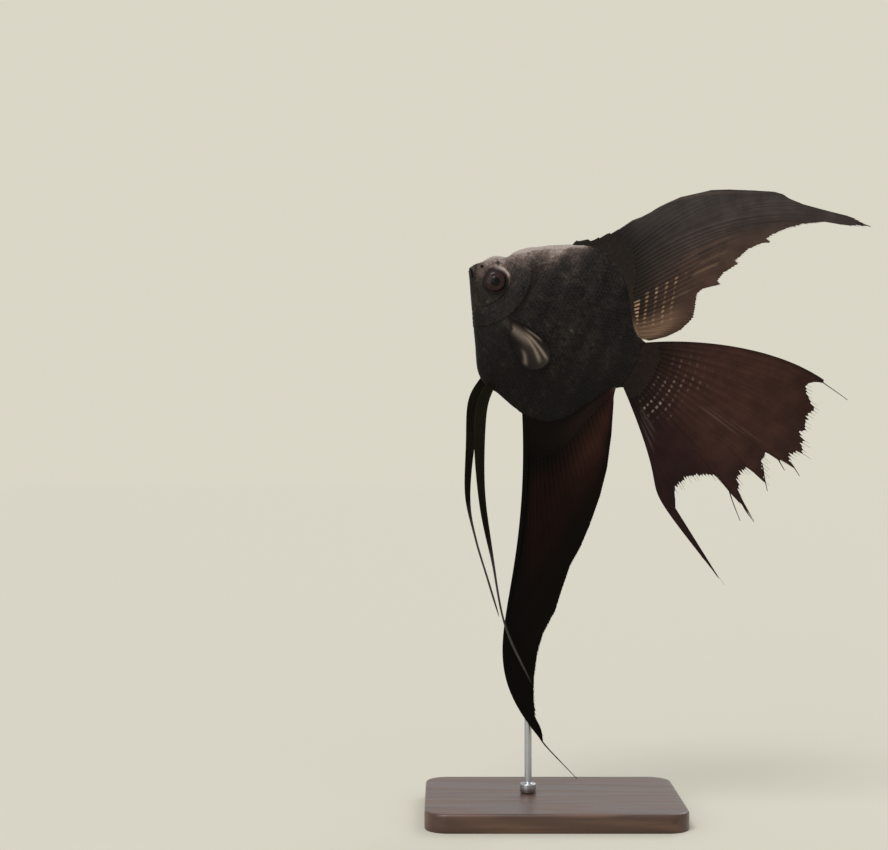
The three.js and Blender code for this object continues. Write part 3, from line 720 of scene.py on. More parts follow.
def tone(x, z):
    """The markings with painted sheen, highlight and shade, from 0 for soot to 1 for the painted pale sheen.
    """
    below_back = curve(BACK, x) - z
    eye, bearing = polar(x, z, EYE)
    nostril, _ = polar(x, z, NOSTRIL)
    pore = np.hypot(x - PORES[0][0], z - PORES[0][1])

    # the dark flank and belly, and a paler head
    shade = 0.31 - 0.13 * rise(0.0, -30.0, z) * rise(34, 10, z - curve(BELLY, x))
    shade += 0.12 * rise(30, 10, x) - 0.07 * rise(54, 68, x)
    shade += 0.09 * rise(26, 8, below_back) * rise(50, 38, x)
    shade += 0.15 * span(x, 1.5, 4.5, 4, 9) * rise(-14, -2, z)

    # the pale nape and forehead, partly their own tint and partly a painted sheen of light from above, a
    # painted sheen along the back's edge, and a painted highlight on the brow over the eye's rear
    nape = rise(51, 32, x) * (0.26 + 0.7 * rise(5, 22, x))
    edge = 0.42 * rise(3.2, 0, below_back) * rise(47, 38, x)
    shade += nape * (edge + 0.47 * rise(13 + 10 * rise(36, 44, x), 1, below_back))
    shade += 0.06 * peak(below_back - 14, 6) * span(x, 9, 13, 30, 38) + 0.1 * rise(2.5, 0, below_back)
    forehead = span(x, 1.5, 6, 11, 15) * rise(3.0, 5.0, z) * rise(5.3, 6.0, eye)
    shade += 0.2 * forehead - 0.17 * rise(7, 2, x)
    shade += 0.5 * span(bearing, 32, 58, 80, 115) * peak(eye - 6.5, 0.7)

    # painted shade in the rim round the eye, the nostril, the first pore and the mouth's cleft, then the pale
    # lobe at the pectoral fin's root and slow bands on the flank
    shade -= 0.2 * peak(eye - 5.1, 0.5) + 0.6 * peak(nostril, 0.55) + 0.55 * peak(pore, 0.75)
    shade -= 0.3 * peak(line_distance(x, z, MOUTH_LINE), 0.4) * rise(4.5, 3, x)
    shade += 0.14 * peak(line_distance(x, z, PECTORAL_LOBE), 1.5)
    return shade + 0.04 * np.sin(0.62 * x + 0.03 * z + 0.8) * rise(18, 30, x)


def skin_stations():
    """x of the skin's rings, closest on the head."""
    snout = NOSE + (LIPS_TO - NOSE) * (1 - np.cos(np.linspace(0.12, math.pi / 2, 12)))
    head = np.arange(LIPS_TO + 0.15, 28, 0.165)
    trunk = np.arange(28, BODY_END, 0.62)
    return np.concatenate([snout, head, trunk, [BODY_END]])


def skin_angles():
    """Angles of one side from belly to back, closest where the eye is."""
    even = np.linspace(-90, 90, 721)
    density = 1 / (1 + 2.2 * peak(even - 8, 24))
    reach = np.concatenate([[0], np.cumsum(density[:-1])])
    return np.interp(np.linspace(-90, 90, 161), even, -90 + 180 * reach / reach[-1])


def skin_uv(x, angle, side):
    """The skin's own unwrap: along the body, and round it with a half for each side."""
    u = 0.02 + 0.96 * (x - NOSE) / (BODY_END - NOSE)
    v = 0.25 + 0.005 * side + 0.24 * angle / 90 + np.where(side > 0, 0.5, 0.0)
    return np.stack([u, np.broadcast_to(v, np.shape(u))], -1)


def surface_point(x, angle, side, lift=0.0):
    """Point of the finished skin, lifted along its own outward direction."""
    at = body_point(x, angle, side)
    ahead = body_point(x + 0.05, angle, side) - body_point(x - 0.05, angle, side)
    above = body_point(x, np.minimum(angle + 1, 89.9), side)
    below = body_point(x, np.maximum(angle - 1, -89.9), side)
    out = unit(np.cross(above - below, ahead) * np.asarray(side)[..., None])
    high = relief(at[..., 0], at[..., 2]) + lift
    return at + out * high[..., None]


def make_skin(material):
    """One skin of rings that start at the belly and go up the left side and down the right."""
    angles = skin_angles()
    x, angle = np.meshgrid(skin_stations(), [*angles[:-1], *angles[:0:-1]], indexing="ij")
    side = np.broadcast_to(np.repeat([-1.0, 1.0], len(angles) - 1), x.shape)
    rings = surface_point(x, angle, side)
    rings[..., 1][np.abs(angle) > 89.95] = 0
    points, faces = ring_solid(rings, [[NOSE, 0, -0.05], [BODY_END + 0.4, 0, section(BODY_END)[0]]])
    uv = np.concatenate([skin_uv(x, angle, side).reshape(-1, 2), [[0.01, 0.25], [0.99, 0.25]]])
    made = mesh_object("skin", in_place(points), faces, uv, {"tone": tone(points[:, 0], points[:, 2])})
    nodes = ["head", "lower_jaw", "gill_cover_left", "gill_cover_right", "trunk", "tail_stalk"]
    dress(made, material, nodes)


# ---------------------------------------------------------------- one scale, and many
UPPER, RIM, HUB = 0, 1, 2  # the parts of a scale


def scale_patch(points_each_way):
    """One scale's points as shares a, from its root to its tip, and b, across it, with their part: the upper
    side, then the underside's rim and its hub. Then the faces of the upper side, edge and underside."""
    even = np.linspace(0, 1, points_each_way)
    a, b = (axis.ravel() for axis in np.meshgrid(even, 2 * even - 1, indexing="ij"))
    index = np.arange(a.size).reshape(points_each_way, points_each_way)
    rim = rim_of(index.T)
    ring = a.size + np.arange(rim.size)
    after = np.roll(ring, -1)
    walls = np.stack([rim, ring, after, np.roll(rim, -1)], 1)
    base = np.stack([np.full(rim.size, a.size + rim.size), after, ring], 1)
    order = np.concatenate([index.ravel(), rim, [a.size // 2]])
    part = np.repeat([UPPER, RIM, HUB], [a.size, rim.size, 1])
    return a[order], b[order], part, [grid_faces(index), walls, base]


def scale_shape(a, b):
    """A scale's half width, reach and lift at its shares a and b, and its own small unwrap."""
    width = np.interp(a, [0, 0.2, 0.5, 0.8, 1], [0.5, 0.86, 1, 0.93, 0.6]) * b
    reach = a * (1 - 0.2 * (1 - a)) - 0.2 * b * b * a**2
    lift = -0.07 + 0.2 * a - 0.05 * b * b - 0.05 * a**4
    return width, reach, lift, 0.0015 * np.stack([2 * a - 1, b], 1)


def make_copies(name, points, faces, spots, unwrap, values):
    """An object of many scales, each with its own points and its own spot on the unwrap."""
    starts = points.shape[1] * np.arange(len(points))[:, None, None]
    groups = [(group + starts).reshape(-1, group.shape[1]) for group in faces]
    uv = (spots[:, None] + unwrap).reshape(-1, 2)
    return mesh_object(name, in_place(points.reshape(-1, 3)), groups, uv, values)


# ---------------------------------------------------------------- the body's scales
SCALE_PITCH = [
    [6, 0.95], [14, 1.15], [24, 1.35], [32, 1.75], [50, 1.95], [66, 1.75], [76, 1.45], [86, 1.2],
]
SCALES_FROM = 7.6  # x of the first column of scales, and the end of the last one
SCALES_TO = 83.6
COLUMN_STEP = 0.8  # from one column to the next, in pitches, as are the next two
SCALE_REACH = 2.1
SCALE_HALF_WIDTH = 0.66
SCALE_DEPTH = (0.16, 0.07)  # thickness at the root and the tip
SCALES_A_PIECE = 780


def girth_tables():
    """For stations along the body: x, the girth from the flank's middle down to the belly and up to the
    back, and the angles at even shares of it."""
    xs = np.linspace(2, BODY_END, 340)
    angles = np.linspace(-89.5, 89.5, 359)
    x, angle = np.meshgrid(xs, angles, indexing="ij")
    length = np.array([run_along(line) for line in body_point(x, angle, 1.0)])
    length -= length[:, [len(angles) // 2]]
    low, high = -length[:, 0], length[:, -1]
    shares = np.linspace(-1, 1, 241)
    arcs = np.where(shares < 0, shares * low[:, None], shares * high[:, None])
    return xs, low, high, np.array([np.interp(arc, line, angles) for arc, line in zip(arcs, length)])


def girth(tables, x, arc):
    """The girth from the flank's middle to the edge on the same side as arc."""
    xs, low, high, _ = tables
    return np.where(arc < 0, np.interp(x, xs, low), np.interp(x, xs, high))


def angle_at(tables, x, arc):
    """The angle at which the body's girth from the flank's middle is arc, and its share of the whole."""
    xs, _, _, table = tables
    at = np.clip((x - xs[0]) / (xs[1] - xs[0]), 0, len(xs) - 1.001)
    i = at.astype(int)
    share = np.clip(arc / girth(tables, x, arc), -1, 1)
    middle = table.shape[1] // 2
    column = np.clip((share + 1) * middle, 0, 2 * middle - 0.001)
    j = column.astype(int)
    near = lerp(table[i, j], table[i, j + 1], column - j)
    far = lerp(table[i + 1, j], table[i + 1, j + 1], column - j)
    return lerp(near, far, at - i), share


def scale_roots(tables):
    """x, arc and pitch of the scales' roots, staggered from one column to the next."""
    columns = []
    x = SCALES_FROM
    while x < SCALES_TO:
        pitch = curve(SCALE_PITCH, x)
        rows = np.arange(-60, 61) + 0.5 * (len(columns) % 2)
        columns.append(np.stack([x + 0 * rows, rows * pitch, pitch + 0 * rows]))
        x += COLUMN_STEP * pitch
    x, arc, pitch = np.concatenate(columns, axis=1)
    angle, share = angle_at(tables, x, arc)
    z = body_point(x, angle, 1.0)[:, 2]
    eye, _ = polar(x + pitch, z, EYE)
    gill, turn = polar(x + pitch, z, GILL)
    root, _ = polar(x, z, GILL)
    tip, _ = polar(x + SCALE_REACH * pitch, z, GILL)
    # none at the back's and belly's edges, on the eye, face and throat, or across the rear edges of the gill
    # cover and the cheek
    bare = (np.abs(share) > 0.985) | (eye < 6.7)
    bare |= (x + pitch < 13) & (z < 4 + 0.5 * (x + pitch - 7))
    bare |= (turn < -52) & (gill < 25.5)
    bare |= (turn > -80) & (turn < 36) & (root < 24.6) & (tip > 24.9)
    bare |= (turn > -75) & (turn < 20) & (root < 16.1) & (tip > 16.4)
    return x[~bare, None], arc[~bare, None], pitch[~bare, None]


def make_scales(material):
    """The scales of both sides, in pieces from the head back."""
    tables = girth_tables()
    x0, arc0, pitch = scale_roots(tables)
    a, b, part, faces = scale_patch(9)
    width, reach, lift, unwrap = scale_shape(a, b)
    small = np.clip(pitch / 1.7, 0.5, 1)
    edge_share = angle_at(tables, x0, arc0)[1]
    for word, side in SIDES.items():
        random = np.random.default_rng(40 + side)
        size = random.uniform(0.94, 1.06, x0.shape)
        raised = random.normal(0, 0.012, x0.shape)
        lean = random.normal(0, 0.03, x0.shape)
        shift = random.normal(0, 0.05, (2, *x0.shape)) * pitch
        x = x0 + shift[0] + SCALE_REACH * pitch * size * reach + 0.3 * pitch * lean * b
        # rows keep their number, but near the back and belly they keep to the body's own edge
        by_row = arc0 / pitch * curve(SCALE_PITCH, x)
        by_edge = edge_share * girth(tables, x, arc0)
        arc = lerp(by_row, by_edge, rise(0.75, 0.97, np.abs(edge_share)))
        arc = arc + shift[1] + SCALE_HALF_WIDTH * pitch * size * width + lean * pitch * a
        angle, _ = angle_at(tables, x, arc)
        under = (lift - lerp(*SCALE_DEPTH, a)) * small - 0.02
        lifts = np.where(part == UPPER, (lift + raised * a) * small, under)
        points = surface_point(x, angle, side, np.where(part == HUB, -0.04 * small, lifts))
        tones = tone(points[..., 0], points[..., 2]) + random.normal(0, 0.04, x0.shape)
        spots = skin_uv(x0[:, 0], angle[:, 0], side)
        for number, first in enumerate(range(0, len(x0), SCALES_A_PIECE), 1):
            some = slice(first, first + SCALES_A_PIECE)
            values = {"tone": tones[some], "tip": np.broadcast_to(a, tones[some].shape)}
            turned = flipped(faces) if side > 0 else faces
            name = f"scales_{word}_{number}"
            made = make_copies(name, points[some], turned, spots[some], unwrap, values)
            dress(made, material)


# ---------------------------------------------------------------- the eyes
def make_eye(word, side, material):
    """The eyeball, with a clear bulge over the lens and a shallow trough round it."""
    x, y, z, r, half = EYE.values()
    theta = np.linspace(0, math.pi, 57)[1:-1]
    phi = np.linspace(0, 2 * math.pi, 96, endpoint=False)
    t, p = np.meshgrid(theta, phi, indexing="ij")
    out = np.sin(t)
    front = np.cos(t) > 0
    swell = 0.3 * rise(2.5 / r, 0.6 / r, out) - 0.12 * peak(out - 0.52, 0.1)
    depth = y + half * np.cos(t) + np.where(front, swell, 0)
    rings = np.stack([x + r * out * np.cos(p), side * depth, z + r * out * np.sin(p)], -1)
    points, faces = ring_solid(rings, [[x, side * (y + half + 0.3), z], [x, side * (y - half), z]])
    radius = np.concatenate([np.where(front, out, 1).ravel(), [0, 1]])
    turned = 0.5 + 0.48 / math.pi * t[..., None] * np.stack([np.cos(p), np.sin(p)], -1)
    uv = np.concatenate([turned.reshape(-1, 2), [[0.5, 0.5], [0.99, 0.5]]])
    faces = flipped(faces) if side > 0 else faces
    made = mesh_object(f"eyeball_{word}", in_place(points), faces, uv, {"out": radius})
    dress(made, material, [f"eye_{word}"])


# ---------------------------------------------------------------- the fins' markings
# Pale lines on a fin, as [place, half width, strength, start, full, still full, end]
DORSAL_LINES = [
    [0.775, 0.006, 0.34, 0.55, 0.6, 0.78, 0.84], [0.735, 0.006, 0.2, 0.5, 0.58, 0.72, 0.8],
    [0.665, 0.005, 0.2, 0.34, 0.42, 0.6, 0.72], [0.84, 0.005, 0.2, 0.3, 0.4, 0.6, 0.7],
]
DORSAL_CROSS_LINES = [[place, 0.012, 0.2, 0.2, 0.3, 0.4, 0.5] for place in (0.9, 0.94)]
CAUDAL_LINES = [
    *([place, 0.004, 0.16, 0.45, 0.55, 0.7, 0.82] for place in (0.4, 0.42, 0.445)),
    *([place, 0.007, 0.24, 0.22, 0.3, 0.42, 0.55] for place in (0.86, 0.9, 0.94)),
]
# Pale fingers on the pectoral fin, as [first place, last place, half width, strength, start, end]
FINGERS = [
    [0.14, 0.19, 0.045, 0.5, 0.4, 0.86], [0.3, 0.46, 0.045, 0.6, 0.4, 1.02],
    [0.42, 0.66, 0.05, 0.5, 0.4, 0.95], [0.78, 0.93, 0.035, 0.36, 0.5, 0.97],
]


def lines(across, outward, table):
    return sum(
        strength * peak(across - place, width) * span(outward, *ends)
        for place, width, strength, *ends in table
    )


def past_sheath(fin, s, away):
    """How far past a fin's scales a place lies, in mm."""
    return away - straight(fin["sheath"], s)[..., 0]


def dorsal_marks(s, t, away):
    """Pale bars in the lower rear, a row of spots on one ray, pale lines further out and, in the rear corner,
    painted light that shines through from behind.
    """
    bar = (away - 16 * (0.92 - s)) * (s + 0.185) + 2.2
    bars = span(s, 0.75, 0.78, 0.92, 0.95) * rise(6.2, 5.5, bar)
    bars += 0.6 * span(s, 0.73, 0.755, 0.9, 0.96) * span(bar, 5.5, 6.2, 18, 25)
    bars += 0.8 * peak(s - 0.755, 0.01) * span(bar, 9, 11, 21, 30)
    streaks = lines(s, t, DORSAL_LINES) + lines(t, s, DORSAL_CROSS_LINES)
    # the rear corner paler: painted light shining through the membrane from behind
    streaks += 0.5 * rise(0.84, 0.97, s) * rise(0.95, 0.5, t)
    past = past_sheath(DORSAL, s, away)
    dark = 0.95 * rise(18, -2, past)
    dark += 0.4 * rise(34, 13, past) * span(s, 0.3, 0.5, 0.87, 0.97) * (1 - dark)
    return {
        "marks": bars, "bar": bar, "streaks": streaks, "dark": dark, "rays": 0.1 + 0.9 * rise(0.55, 0.78, s),
    }


def caudal_marks(s, t, away):
    """Pale spots near the tail's root and fine pale lines along the middle rays."""
    dots = 0.8 * peak(t - 0.25 - 0.06 * rise(0.5, 0.75, s), 0.075) * span(s, 0.3, 0.5, 0.8, 0.9)
    dots += 0.36 * peak(t - 0.29, 0.09) * peak(s - 0.25, 0.12)
    return {
        "marks": dots, "bar": away, "streaks": lines(s, t, CAUDAL_LINES),
        "dark": 0.9 * rise(34, 4, away) + 0.5 * rise(0.025, 0.0, s) + 0.4 * rise(0.78, 1, t),
        "rays": 0.7 + 0.3 * rise(0.5, 0.9, s) * rise(0.6, 0.3, t),
    }


def anal_marks(s, t, away):
    """Black in front, below and along the body; behind the body a clear patch, painted lighter with the light
    that shines through it from behind.
    """
    lit = rise(0.1, 0.24, s) * rise(0, 12, past_sheath(ANAL, s, away))
    lit *= 1 - 0.9 * rise(0.35, 0.75, t - 0.2 * s)
    return {
        "marks": 0.45 * rise(0.95, 1.0, s) * rise(0.4, 0.1, t),
        "streaks": 0.06 * rise(0.35, 0.7, s) * span(t, 0.02, 0.1, 0.4, 0.7),
        "dark": (1 - lit) * rise(1.04, 0.9, s), "rays": 0.15 + 0.6 * rise(0.3, 0.6, s),
    }


def pectoral_marks(s, t, _away):
    """Pale bundles of rays: a broad one that splits into fingers, and one below."""
    marks = 0.46 * peak(s - lerp(0.5, 0.38, t), lerp(0.2, 0.13, t)) * rise(0.7, 0.4, t)
    marks *= lerp(0.5, 1, rise(0.05, 0.25, t))
    for first, last, width, strength, start, end in FINGERS:
        place = lerp(first, last, rise(start, 1, t))
        marks += strength * peak(s - place, width) * span(t, start, start + 0.18, end - 0.15, end)
    marks += 0.06 * peak(s - 0.55, 0.25) * rise(0.4, 0.6, t)
    return {"marks": marks.clip(0, 0.9), "streaks": 0.02 + 0 * s, "dark": 0 * s, "rays": 0.5 + 0 * s}


def pelvic_marks(s, t, _away):
    """The blade is black and its long filament grey."""
    return {"marks": 0.85 * rise(0.5, 0.68, t), "streaks": 0 * s, "dark": 0 * s, "rays": 0.5 + 0 * s}


# ---------------------------------------------------------------- the fins
RAY_WIDTH = {1: (0.17, 0.07), 2: (0.055, 0.03), 4: (0.03, 0.02)}  # half width in ray pitches, root to tip
TRIM_STEPS = 240
SHEATH_REACH = 3.4  # how far out a fin's thick root runs
FIN_HALF = 0.09  # half thickness between the rays
TRIM_SLACK = 0.6  # mm outside the solid's outline that the first and last rays may lie
WHOLE = ([0.0, 1.0], [1.0, 1.0])  # the ends of a fin that is trimmed nowhere
TIP_RADII = (0.11, 0.035)  # of the threads at the rays' tips, from first to last
HAIR_END = 0.13
FIN_SCALE_PITCH = 1.15
FIN_SCALE_REACH = 2.0  # in pitches, as is the next one
FIN_SCALE_HALF_WIDTH = 0.62
FIN_SCALE_DEPTH = 0.12


def fin_point(fin, s, t):
    """x and z of a fin's place at the shares s and t."""
    base = along(fin["base"], s)
    tip = straight(fin["margin"], s)
    rays = along(fin["rays"], s)
    length = np.linalg.norm(tip - base, axis=-1, keepdims=True)
    first = np.radians(rays[..., 0])
    last = np.radians(rays[..., 2])
    leave = base + rays[..., [1]] * length * np.stack([np.cos(first), np.sin(first)], -1)
    arrive = tip - rays[..., [3]] * length * np.stack([np.cos(last), np.sin(last)], -1)
    t = t[..., None]
    at = (1 - t) ** 3 * base + 3 * t * (1 - t) ** 2 * leave + 3 * t * t * (1 - t) * arrive + t**3 * tip
    return np.moveaxis(at, -1, 0)


def fan_bend(fin, x, z):
    """How far a fin of the middle plane lies to the side at a place in side view."""
    fan = fin["fan"]
    away, direction = polar(x, z, fan)
    out = np.maximum(0, (away - fan["start"]) / fan["reach"])
    return fin["bend"](out, (direction - fan["first"]) / (fan["last"] - fan["first"]))


def branch_offsets(branches, t):
    """How far a ray's branches lie from its middle, in ray pitches."""
    first = 0.07 + 0.18 * rise(0.2, 0.95, t)
    second = 0.035 + 0.09 * rise(0.45, 1.0, t)
    if branches == 1:
        return [0 * t]
    if branches == 2:
        return [-first, first]
    return [-first - second, -first + second, first - second, first + second]


def ray_columns(groups, t):
    """s of each column of a fin's grid at each t, with three columns to a branch and one between two, and
    how high and how stout each column's ray is."""
    columns = [0 * t]
    ridge = [0.0]
    stout = [1.0]
    edges = []
    for first, last, count, branches in groups:
        pitch = (last - first) / count
        width = pitch * lerp(*RAY_WIDTH[branches], t)
        for k in range(count):
            for offset in branch_offsets(branches, t):
                middle = first + pitch * (k + 0.5 + offset)
                edges.append((middle - width, middle, middle + width, 1.0 if branches == 1 else 0.6))
    for (low, middle, high, size), following in zip(edges, edges[1:] + [None]):
        after = (high + following[0]) / 2 if following else 0 * t + 1
        columns += [low, middle, high, after]
        ridge += [0.55, 1.0, 0.55, 0.0]
        stout += [size] * 4
    return np.array(columns), np.array(ridge), np.array(stout)


def gap_share(groups, s):
    """0 on the rays, and 1 midway between two."""
    share = 0 * s
    for low, high, count, _ in groups:
        wave = 0.5 + 0.5 * np.cos(2 * math.pi * (s - low) * count / (high - low))
        share += np.where((s >= low) & (s < high), wave, 0)
    return share


def trim_shares(fin):
    """For fine steps of s, the share of the ray at which it leaves the fin's outline."""
    s, t = np.meshgrid(np.linspace(0, 1, 900), np.linspace(0.06, 1, TRIM_STEPS), indexing="ij")
    x, z = fin_point(fin, s, t)
    outermost = (s < 0.012) | (s > 0.985)
    near = line_distance(x, z, fin["outline"] + fin["outline"][:1])
    kept = inside(x, z, fin["outline"]) | (near < np.where(outermost, TRIM_SLACK, 0.05))
    gone = np.where(kept.all(1), TRIM_STEPS - 1, np.argmin(kept, 1) - 1)
    return s[:, 0], t[0, gone.clip(1)]


def fin_uv(columns, shares, faces, rim):
    """The unwrap of a fin's corners: a half for each face, and the rim along the near one's edge."""
    near = np.stack([0.01 + 0.47 * columns, 0.02 + 0.95 * shares], -1).reshape(-1, 2)
    both = np.concatenate([near, near + [0.51, 0]])
    corners = [both[face.ravel()] for face in faces]
    past = rim.ravel() >= len(near)
    return np.concatenate([*corners, near[rim.ravel() % len(near)] + 0.0008 * past[:, None]])


def make_fin(name, fin, surface, marks, finish, node, ends=WHOLE, flip=False):
    """A fin's two faces over the shares s and t. surface gives their middle's x, y and z, marks its markings
    and ends the share of each ray that is kept."""
    even = np.linspace(0, 1, fin["rows"]) ** 0.92
    columns, ridge, size = ray_columns(fin["groups"], even)
    random = np.random.default_rng(len(name) * 7 + fin["rows"])
    fray, fray_from, fray_to = fin["fray"]
    loose = fray * span(columns[:, -1], fray_from - 0.01, fray_from + 0.01, fray_to - 0.01, fray_to + 0.01)
    ragged = 1 - loose * (1 - ridge) ** 2 * random.uniform(0.3, 1, len(ridge))
    ragged -= 0.5 * loose * random.uniform(0, 1, len(ridge))
    t = even * np.interp(columns, *ends) * ragged[:, None]
    x, y, z = surface(columns, t)
    away = np.hypot(x - x[:, :1], z - z[:, :1])

    root, tip, sheath = fin["stout"]
    half = FIN_HALF - 0.03 * even + lerp(root, tip, even) * (ridge * size)[:, None]
    half += sheath * peak(away, SHEATH_REACH)
    half *= rise(1.02, 0.985, even) * 0.75 + 0.25
    y = y + 0.16 * np.sin(0.55 * x + 0.3 * z) * np.sin(0.37 * z - 0.2 * x) * rise(0.1, 0.8, even)
    points = np.concatenate([np.stack([x, y + way * half, z], -1).reshape(-1, 3) for way in (-1, 1)])

    index = np.arange(x.size).reshape(x.shape)
    face = grid_faces(index)
    loop = rim_of(index)
    after = np.roll(loop, -1)
    rim = np.stack([loop, after, x.size + after, x.size + loop], 1)
    faces = [face[:, ::-1], face + x.size, rim[:, ::-1]]
    if flip:
        faces = flipped(faces)
    shares = np.broadcast_to(even, x.shape)
    uv = fin_uv(columns, shares, faces[:2], faces[2])

    values = marks(columns, shares, away)
    values["ridge"] = ridge[:, None] * values.pop("rays")
    values["gap"] = gap_share(fin["groups"], columns)
    values["away"] = away
    values["across"] = columns
    values = {key: np.tile(np.clip(value, 0, None).ravel(), 2) for key, value in values.items()}
    dress(mesh_object(name, in_place(points), faces, uv, values), finish, [node])


def strand(line, thick, thin, sides=6):
    """A tapered thread along points [x, y, z]: its points and its faces, closed at both ends."""
    way = unit(np.gradient(line, axis=0))
    across = unit(np.cross(way, [0.0, 1.0, 0.0]))
    other = np.cross(way, across)
    turn = np.linspace(0, 2 * math.pi, sides, endpoint=False)[None, :, None]
    share = np.linspace(0, 1, len(line))
    radius = (lerp(thick, thin, share) * np.interp(share, [0, 0.2], [0.35, 1]))[:, None, None]
    rings = line[:, None] + radius * (np.cos(turn) * across[:, None] + np.sin(turn) * other[:, None])
    return ring_solid(rings, line[[0, -1]])


def ray_tips(fin, ends, random):
    """Lines that carry on from the rays' branches past the fin's edge."""
    tips = []
    for first, last, count, branches in fin["groups"]:
        pitch = (last - first) / count
        for k in range(count):
            for offset in branch_offsets(branches, 1.0):
                s = first + pitch * (k + 0.5 + offset)
                past = np.linspace(-0.03, fin["reach"] * random.uniform(0.1, 1.0) ** 2, 5)
                tips.append(fin_point(fin, np.full(5, s), np.interp(s, *ends) + past))
    return tips


def make_threads(name, fin, ends, finish):
    """The fin's loose threads: its ray tips and the long hairs at its corners, as one piece."""
    random = np.random.default_rng(len(name))
    threads = [(at, *TIP_RADII) for at in ray_tips(fin, ends, random)]
    for hair, thick in fin["hairs"]:
        table = np.column_stack([np.linspace(0, 1, len(hair)), hair])
        threads.append((along(table, np.linspace(0, 1, 5 * len(hair))).T, thick, HAIR_END))
    points = np.empty((0, 3))
    faces = []
    for (x, z), thick, thin in threads:
        some, some_faces = strand(np.column_stack([x, fan_bend(fin, x, z), z]), thick, thin)
        faces += [group + len(points) for group in some_faces]
        points = np.concatenate([points, some])
    one = np.ones(len(points))
    values = {"across": 0.6 * one, "away": 60 * one, "ridge": one, "dark": 0.3 * one}
    made = mesh_object(name, in_place(points), faces, 0.5 + 0.00001 * points[:, [0, 2]], values)
    dress(made, finish)


def make_median_fin(word, fin, marks, finish):
    def surface(s, t):
        x, z = fin_point(fin, s, t)
        return x, fan_bend(fin, x, z), z

    ends = trim_shares(fin)
    make_fin(f"{word}_fin", fin, surface, marks, finish, f"fin_{word}", ends)
    make_threads(f"{word}_threads", fin, ends, finish)


def make_pectoral(word, side, finish):
    def surface(s, t):
        x, z = fin_point(PECTORAL, s, t)
        return x, side * (7.0 + 7.8 * t - 1.6 * t * t - 0.8 * s), z

    name = f"pectoral_fin_{word}"
    make_fin(name, PECTORAL, surface, pectoral_marks, finish, f"fin_pectoral_{word}")


def make_pelvic(word, finish):
    points = np.array(PELVIC["lines"][word], float)
    chord = np.linalg.norm(np.diff(points, axis=0), axis=1)
    knots = np.concatenate([[0], np.cumsum(np.sqrt(chord))])
    line = along(np.column_stack([knots, points]), np.linspace(0, knots[-1], 600))
    run = run_along(line)
    table = np.column_stack([run / run[-1], line])

    def surface(s, t):
        x, z, y = np.moveaxis(straight(table, t), -1, 0)
        way = straight(table, np.minimum(t + 0.01, 1)) - straight(table, np.maximum(t - 0.01, 0))
        way_x, way_z = np.moveaxis(unit(way[..., :2]), -1, 0)
        reach = (s - 0.5) * curve(PELVIC["width"], t)
        return x - way_z * reach, y, z + way_x * reach

    name = f"pelvic_fin_{word}"
    make_fin(name, PELVIC, surface, pelvic_marks, finish, f"fin_pelvic_{word}", flip=True)


# ---------------------------------------------------------------- the scales over the fins' roots
def share_at(fin, s, away):
    """The share of the ray at which a fin's place lies away mm from its base."""
    steps = np.linspace(0, 0.6, 61)
    x, z = fin_point(fin, s[..., None] + 0 * steps, steps + 0 * s[..., None])
    run = np.hypot(x - x[..., :1], z - z[..., :1]).reshape(-1, len(steps))
    found = [np.interp(d, row, steps) for d, row in zip(away.ravel(), run)]
    return np.array(found).reshape(away.shape)


def fin_scale_roots(fin, run, shares):
    """s and the distance from the fin's base of its scales' roots, staggered from one column to the next."""
    columns = []
    for column in range(24):
        rows = np.arange(0.5 + 0.5 * (column % 2), run[-1] / FIN_SCALE_PITCH)
        s = np.interp(rows * FIN_SCALE_PITCH, run, shares)
        away = column * COLUMN_STEP * FIN_SCALE_PITCH + 0 * s
        columns.append(np.stack([s, away])[:, past_sheath(fin, s, away) < 0])
    s, away = np.concatenate(columns, axis=1)
    return s[:, None], away[:, None]


def make_fin_scales(word, fin, marks, finish):
    """Small scales that run out from the body over a fin's base, on both of its faces."""
    shares = np.linspace(0, 1, 200)
    run = run_along(along(fin["base"], shares))
    s0, away0 = fin_scale_roots(fin, run, shares)
    a, b, part, faces = scale_patch(5)
    width, reach, lift, unwrap = scale_shape(a, b)
    root, _, sheath = fin["stout"]
    for face, side in SIDES.items():
        random = np.random.default_rng(len(word) + side)
        shrink = 1 - 0.35 * away0 / 12
        size = FIN_SCALE_PITCH * shrink * random.uniform(0.92, 1.08, s0.shape)
        s = np.clip(s0 + FIN_SCALE_HALF_WIDTH * size * width / run[-1], 0.002, 0.998)
        away = away0 + FIN_SCALE_REACH * size * reach
        t = share_at(fin, s, away)
        x, z = fin_point(fin, s, t)
        half = 0.15 + 0.5 * root + sheath * peak(away, SHEATH_REACH) + 0.75 * lift
        half -= FIN_SCALE_DEPTH * (part != UPPER)
        points = np.stack([x, fan_bend(fin, x, z) + side * half, z], -1)
        spots = np.hstack([0.02 + 0.46 * s0 + 0.5 * (side > 0), away0 / 30])
        values = marks(s, t, away)
        del values["rays"]
        values["dark"] = values["dark"] + random.normal(0, 0.05, s0.shape)
        values["streaks"] = values["streaks"] + 0.02
        values["across"] = s
        values["away"] = away
        turned = faces if (side < 0) == (word == "anal") else flipped(faces)
        made = make_copies(f"scales_{word}_{face}", points, turned, spots, unwrap, values)
        dress(made, finish)


# ---------------------------------------------------------------- the stand
BASE = {"length": 112, "depth": 78, "height": 8, "corner": 10, "bevel": 1.2}
ROD = {"x": -10.5, "y": 4.2, "r": 1.6, "top": 200, "ring": 3.6, "ring_height": 4, "foot": 8.3}


def rounded_rectangle(length, depth, corner, steps=14):
    points = []
    for k, (sx, sy) in enumerate([(1, 1), (-1, 1), (-1, -1), (1, -1)]):
        for a in np.radians(90 * k + np.linspace(0, 90, steps)):
            x = sx * (length / 2 - corner) + corner * math.cos(a)
            y = sy * (depth / 2 - corner) + corner * math.sin(a)
            points.append([x, y])
    return np.array(points)


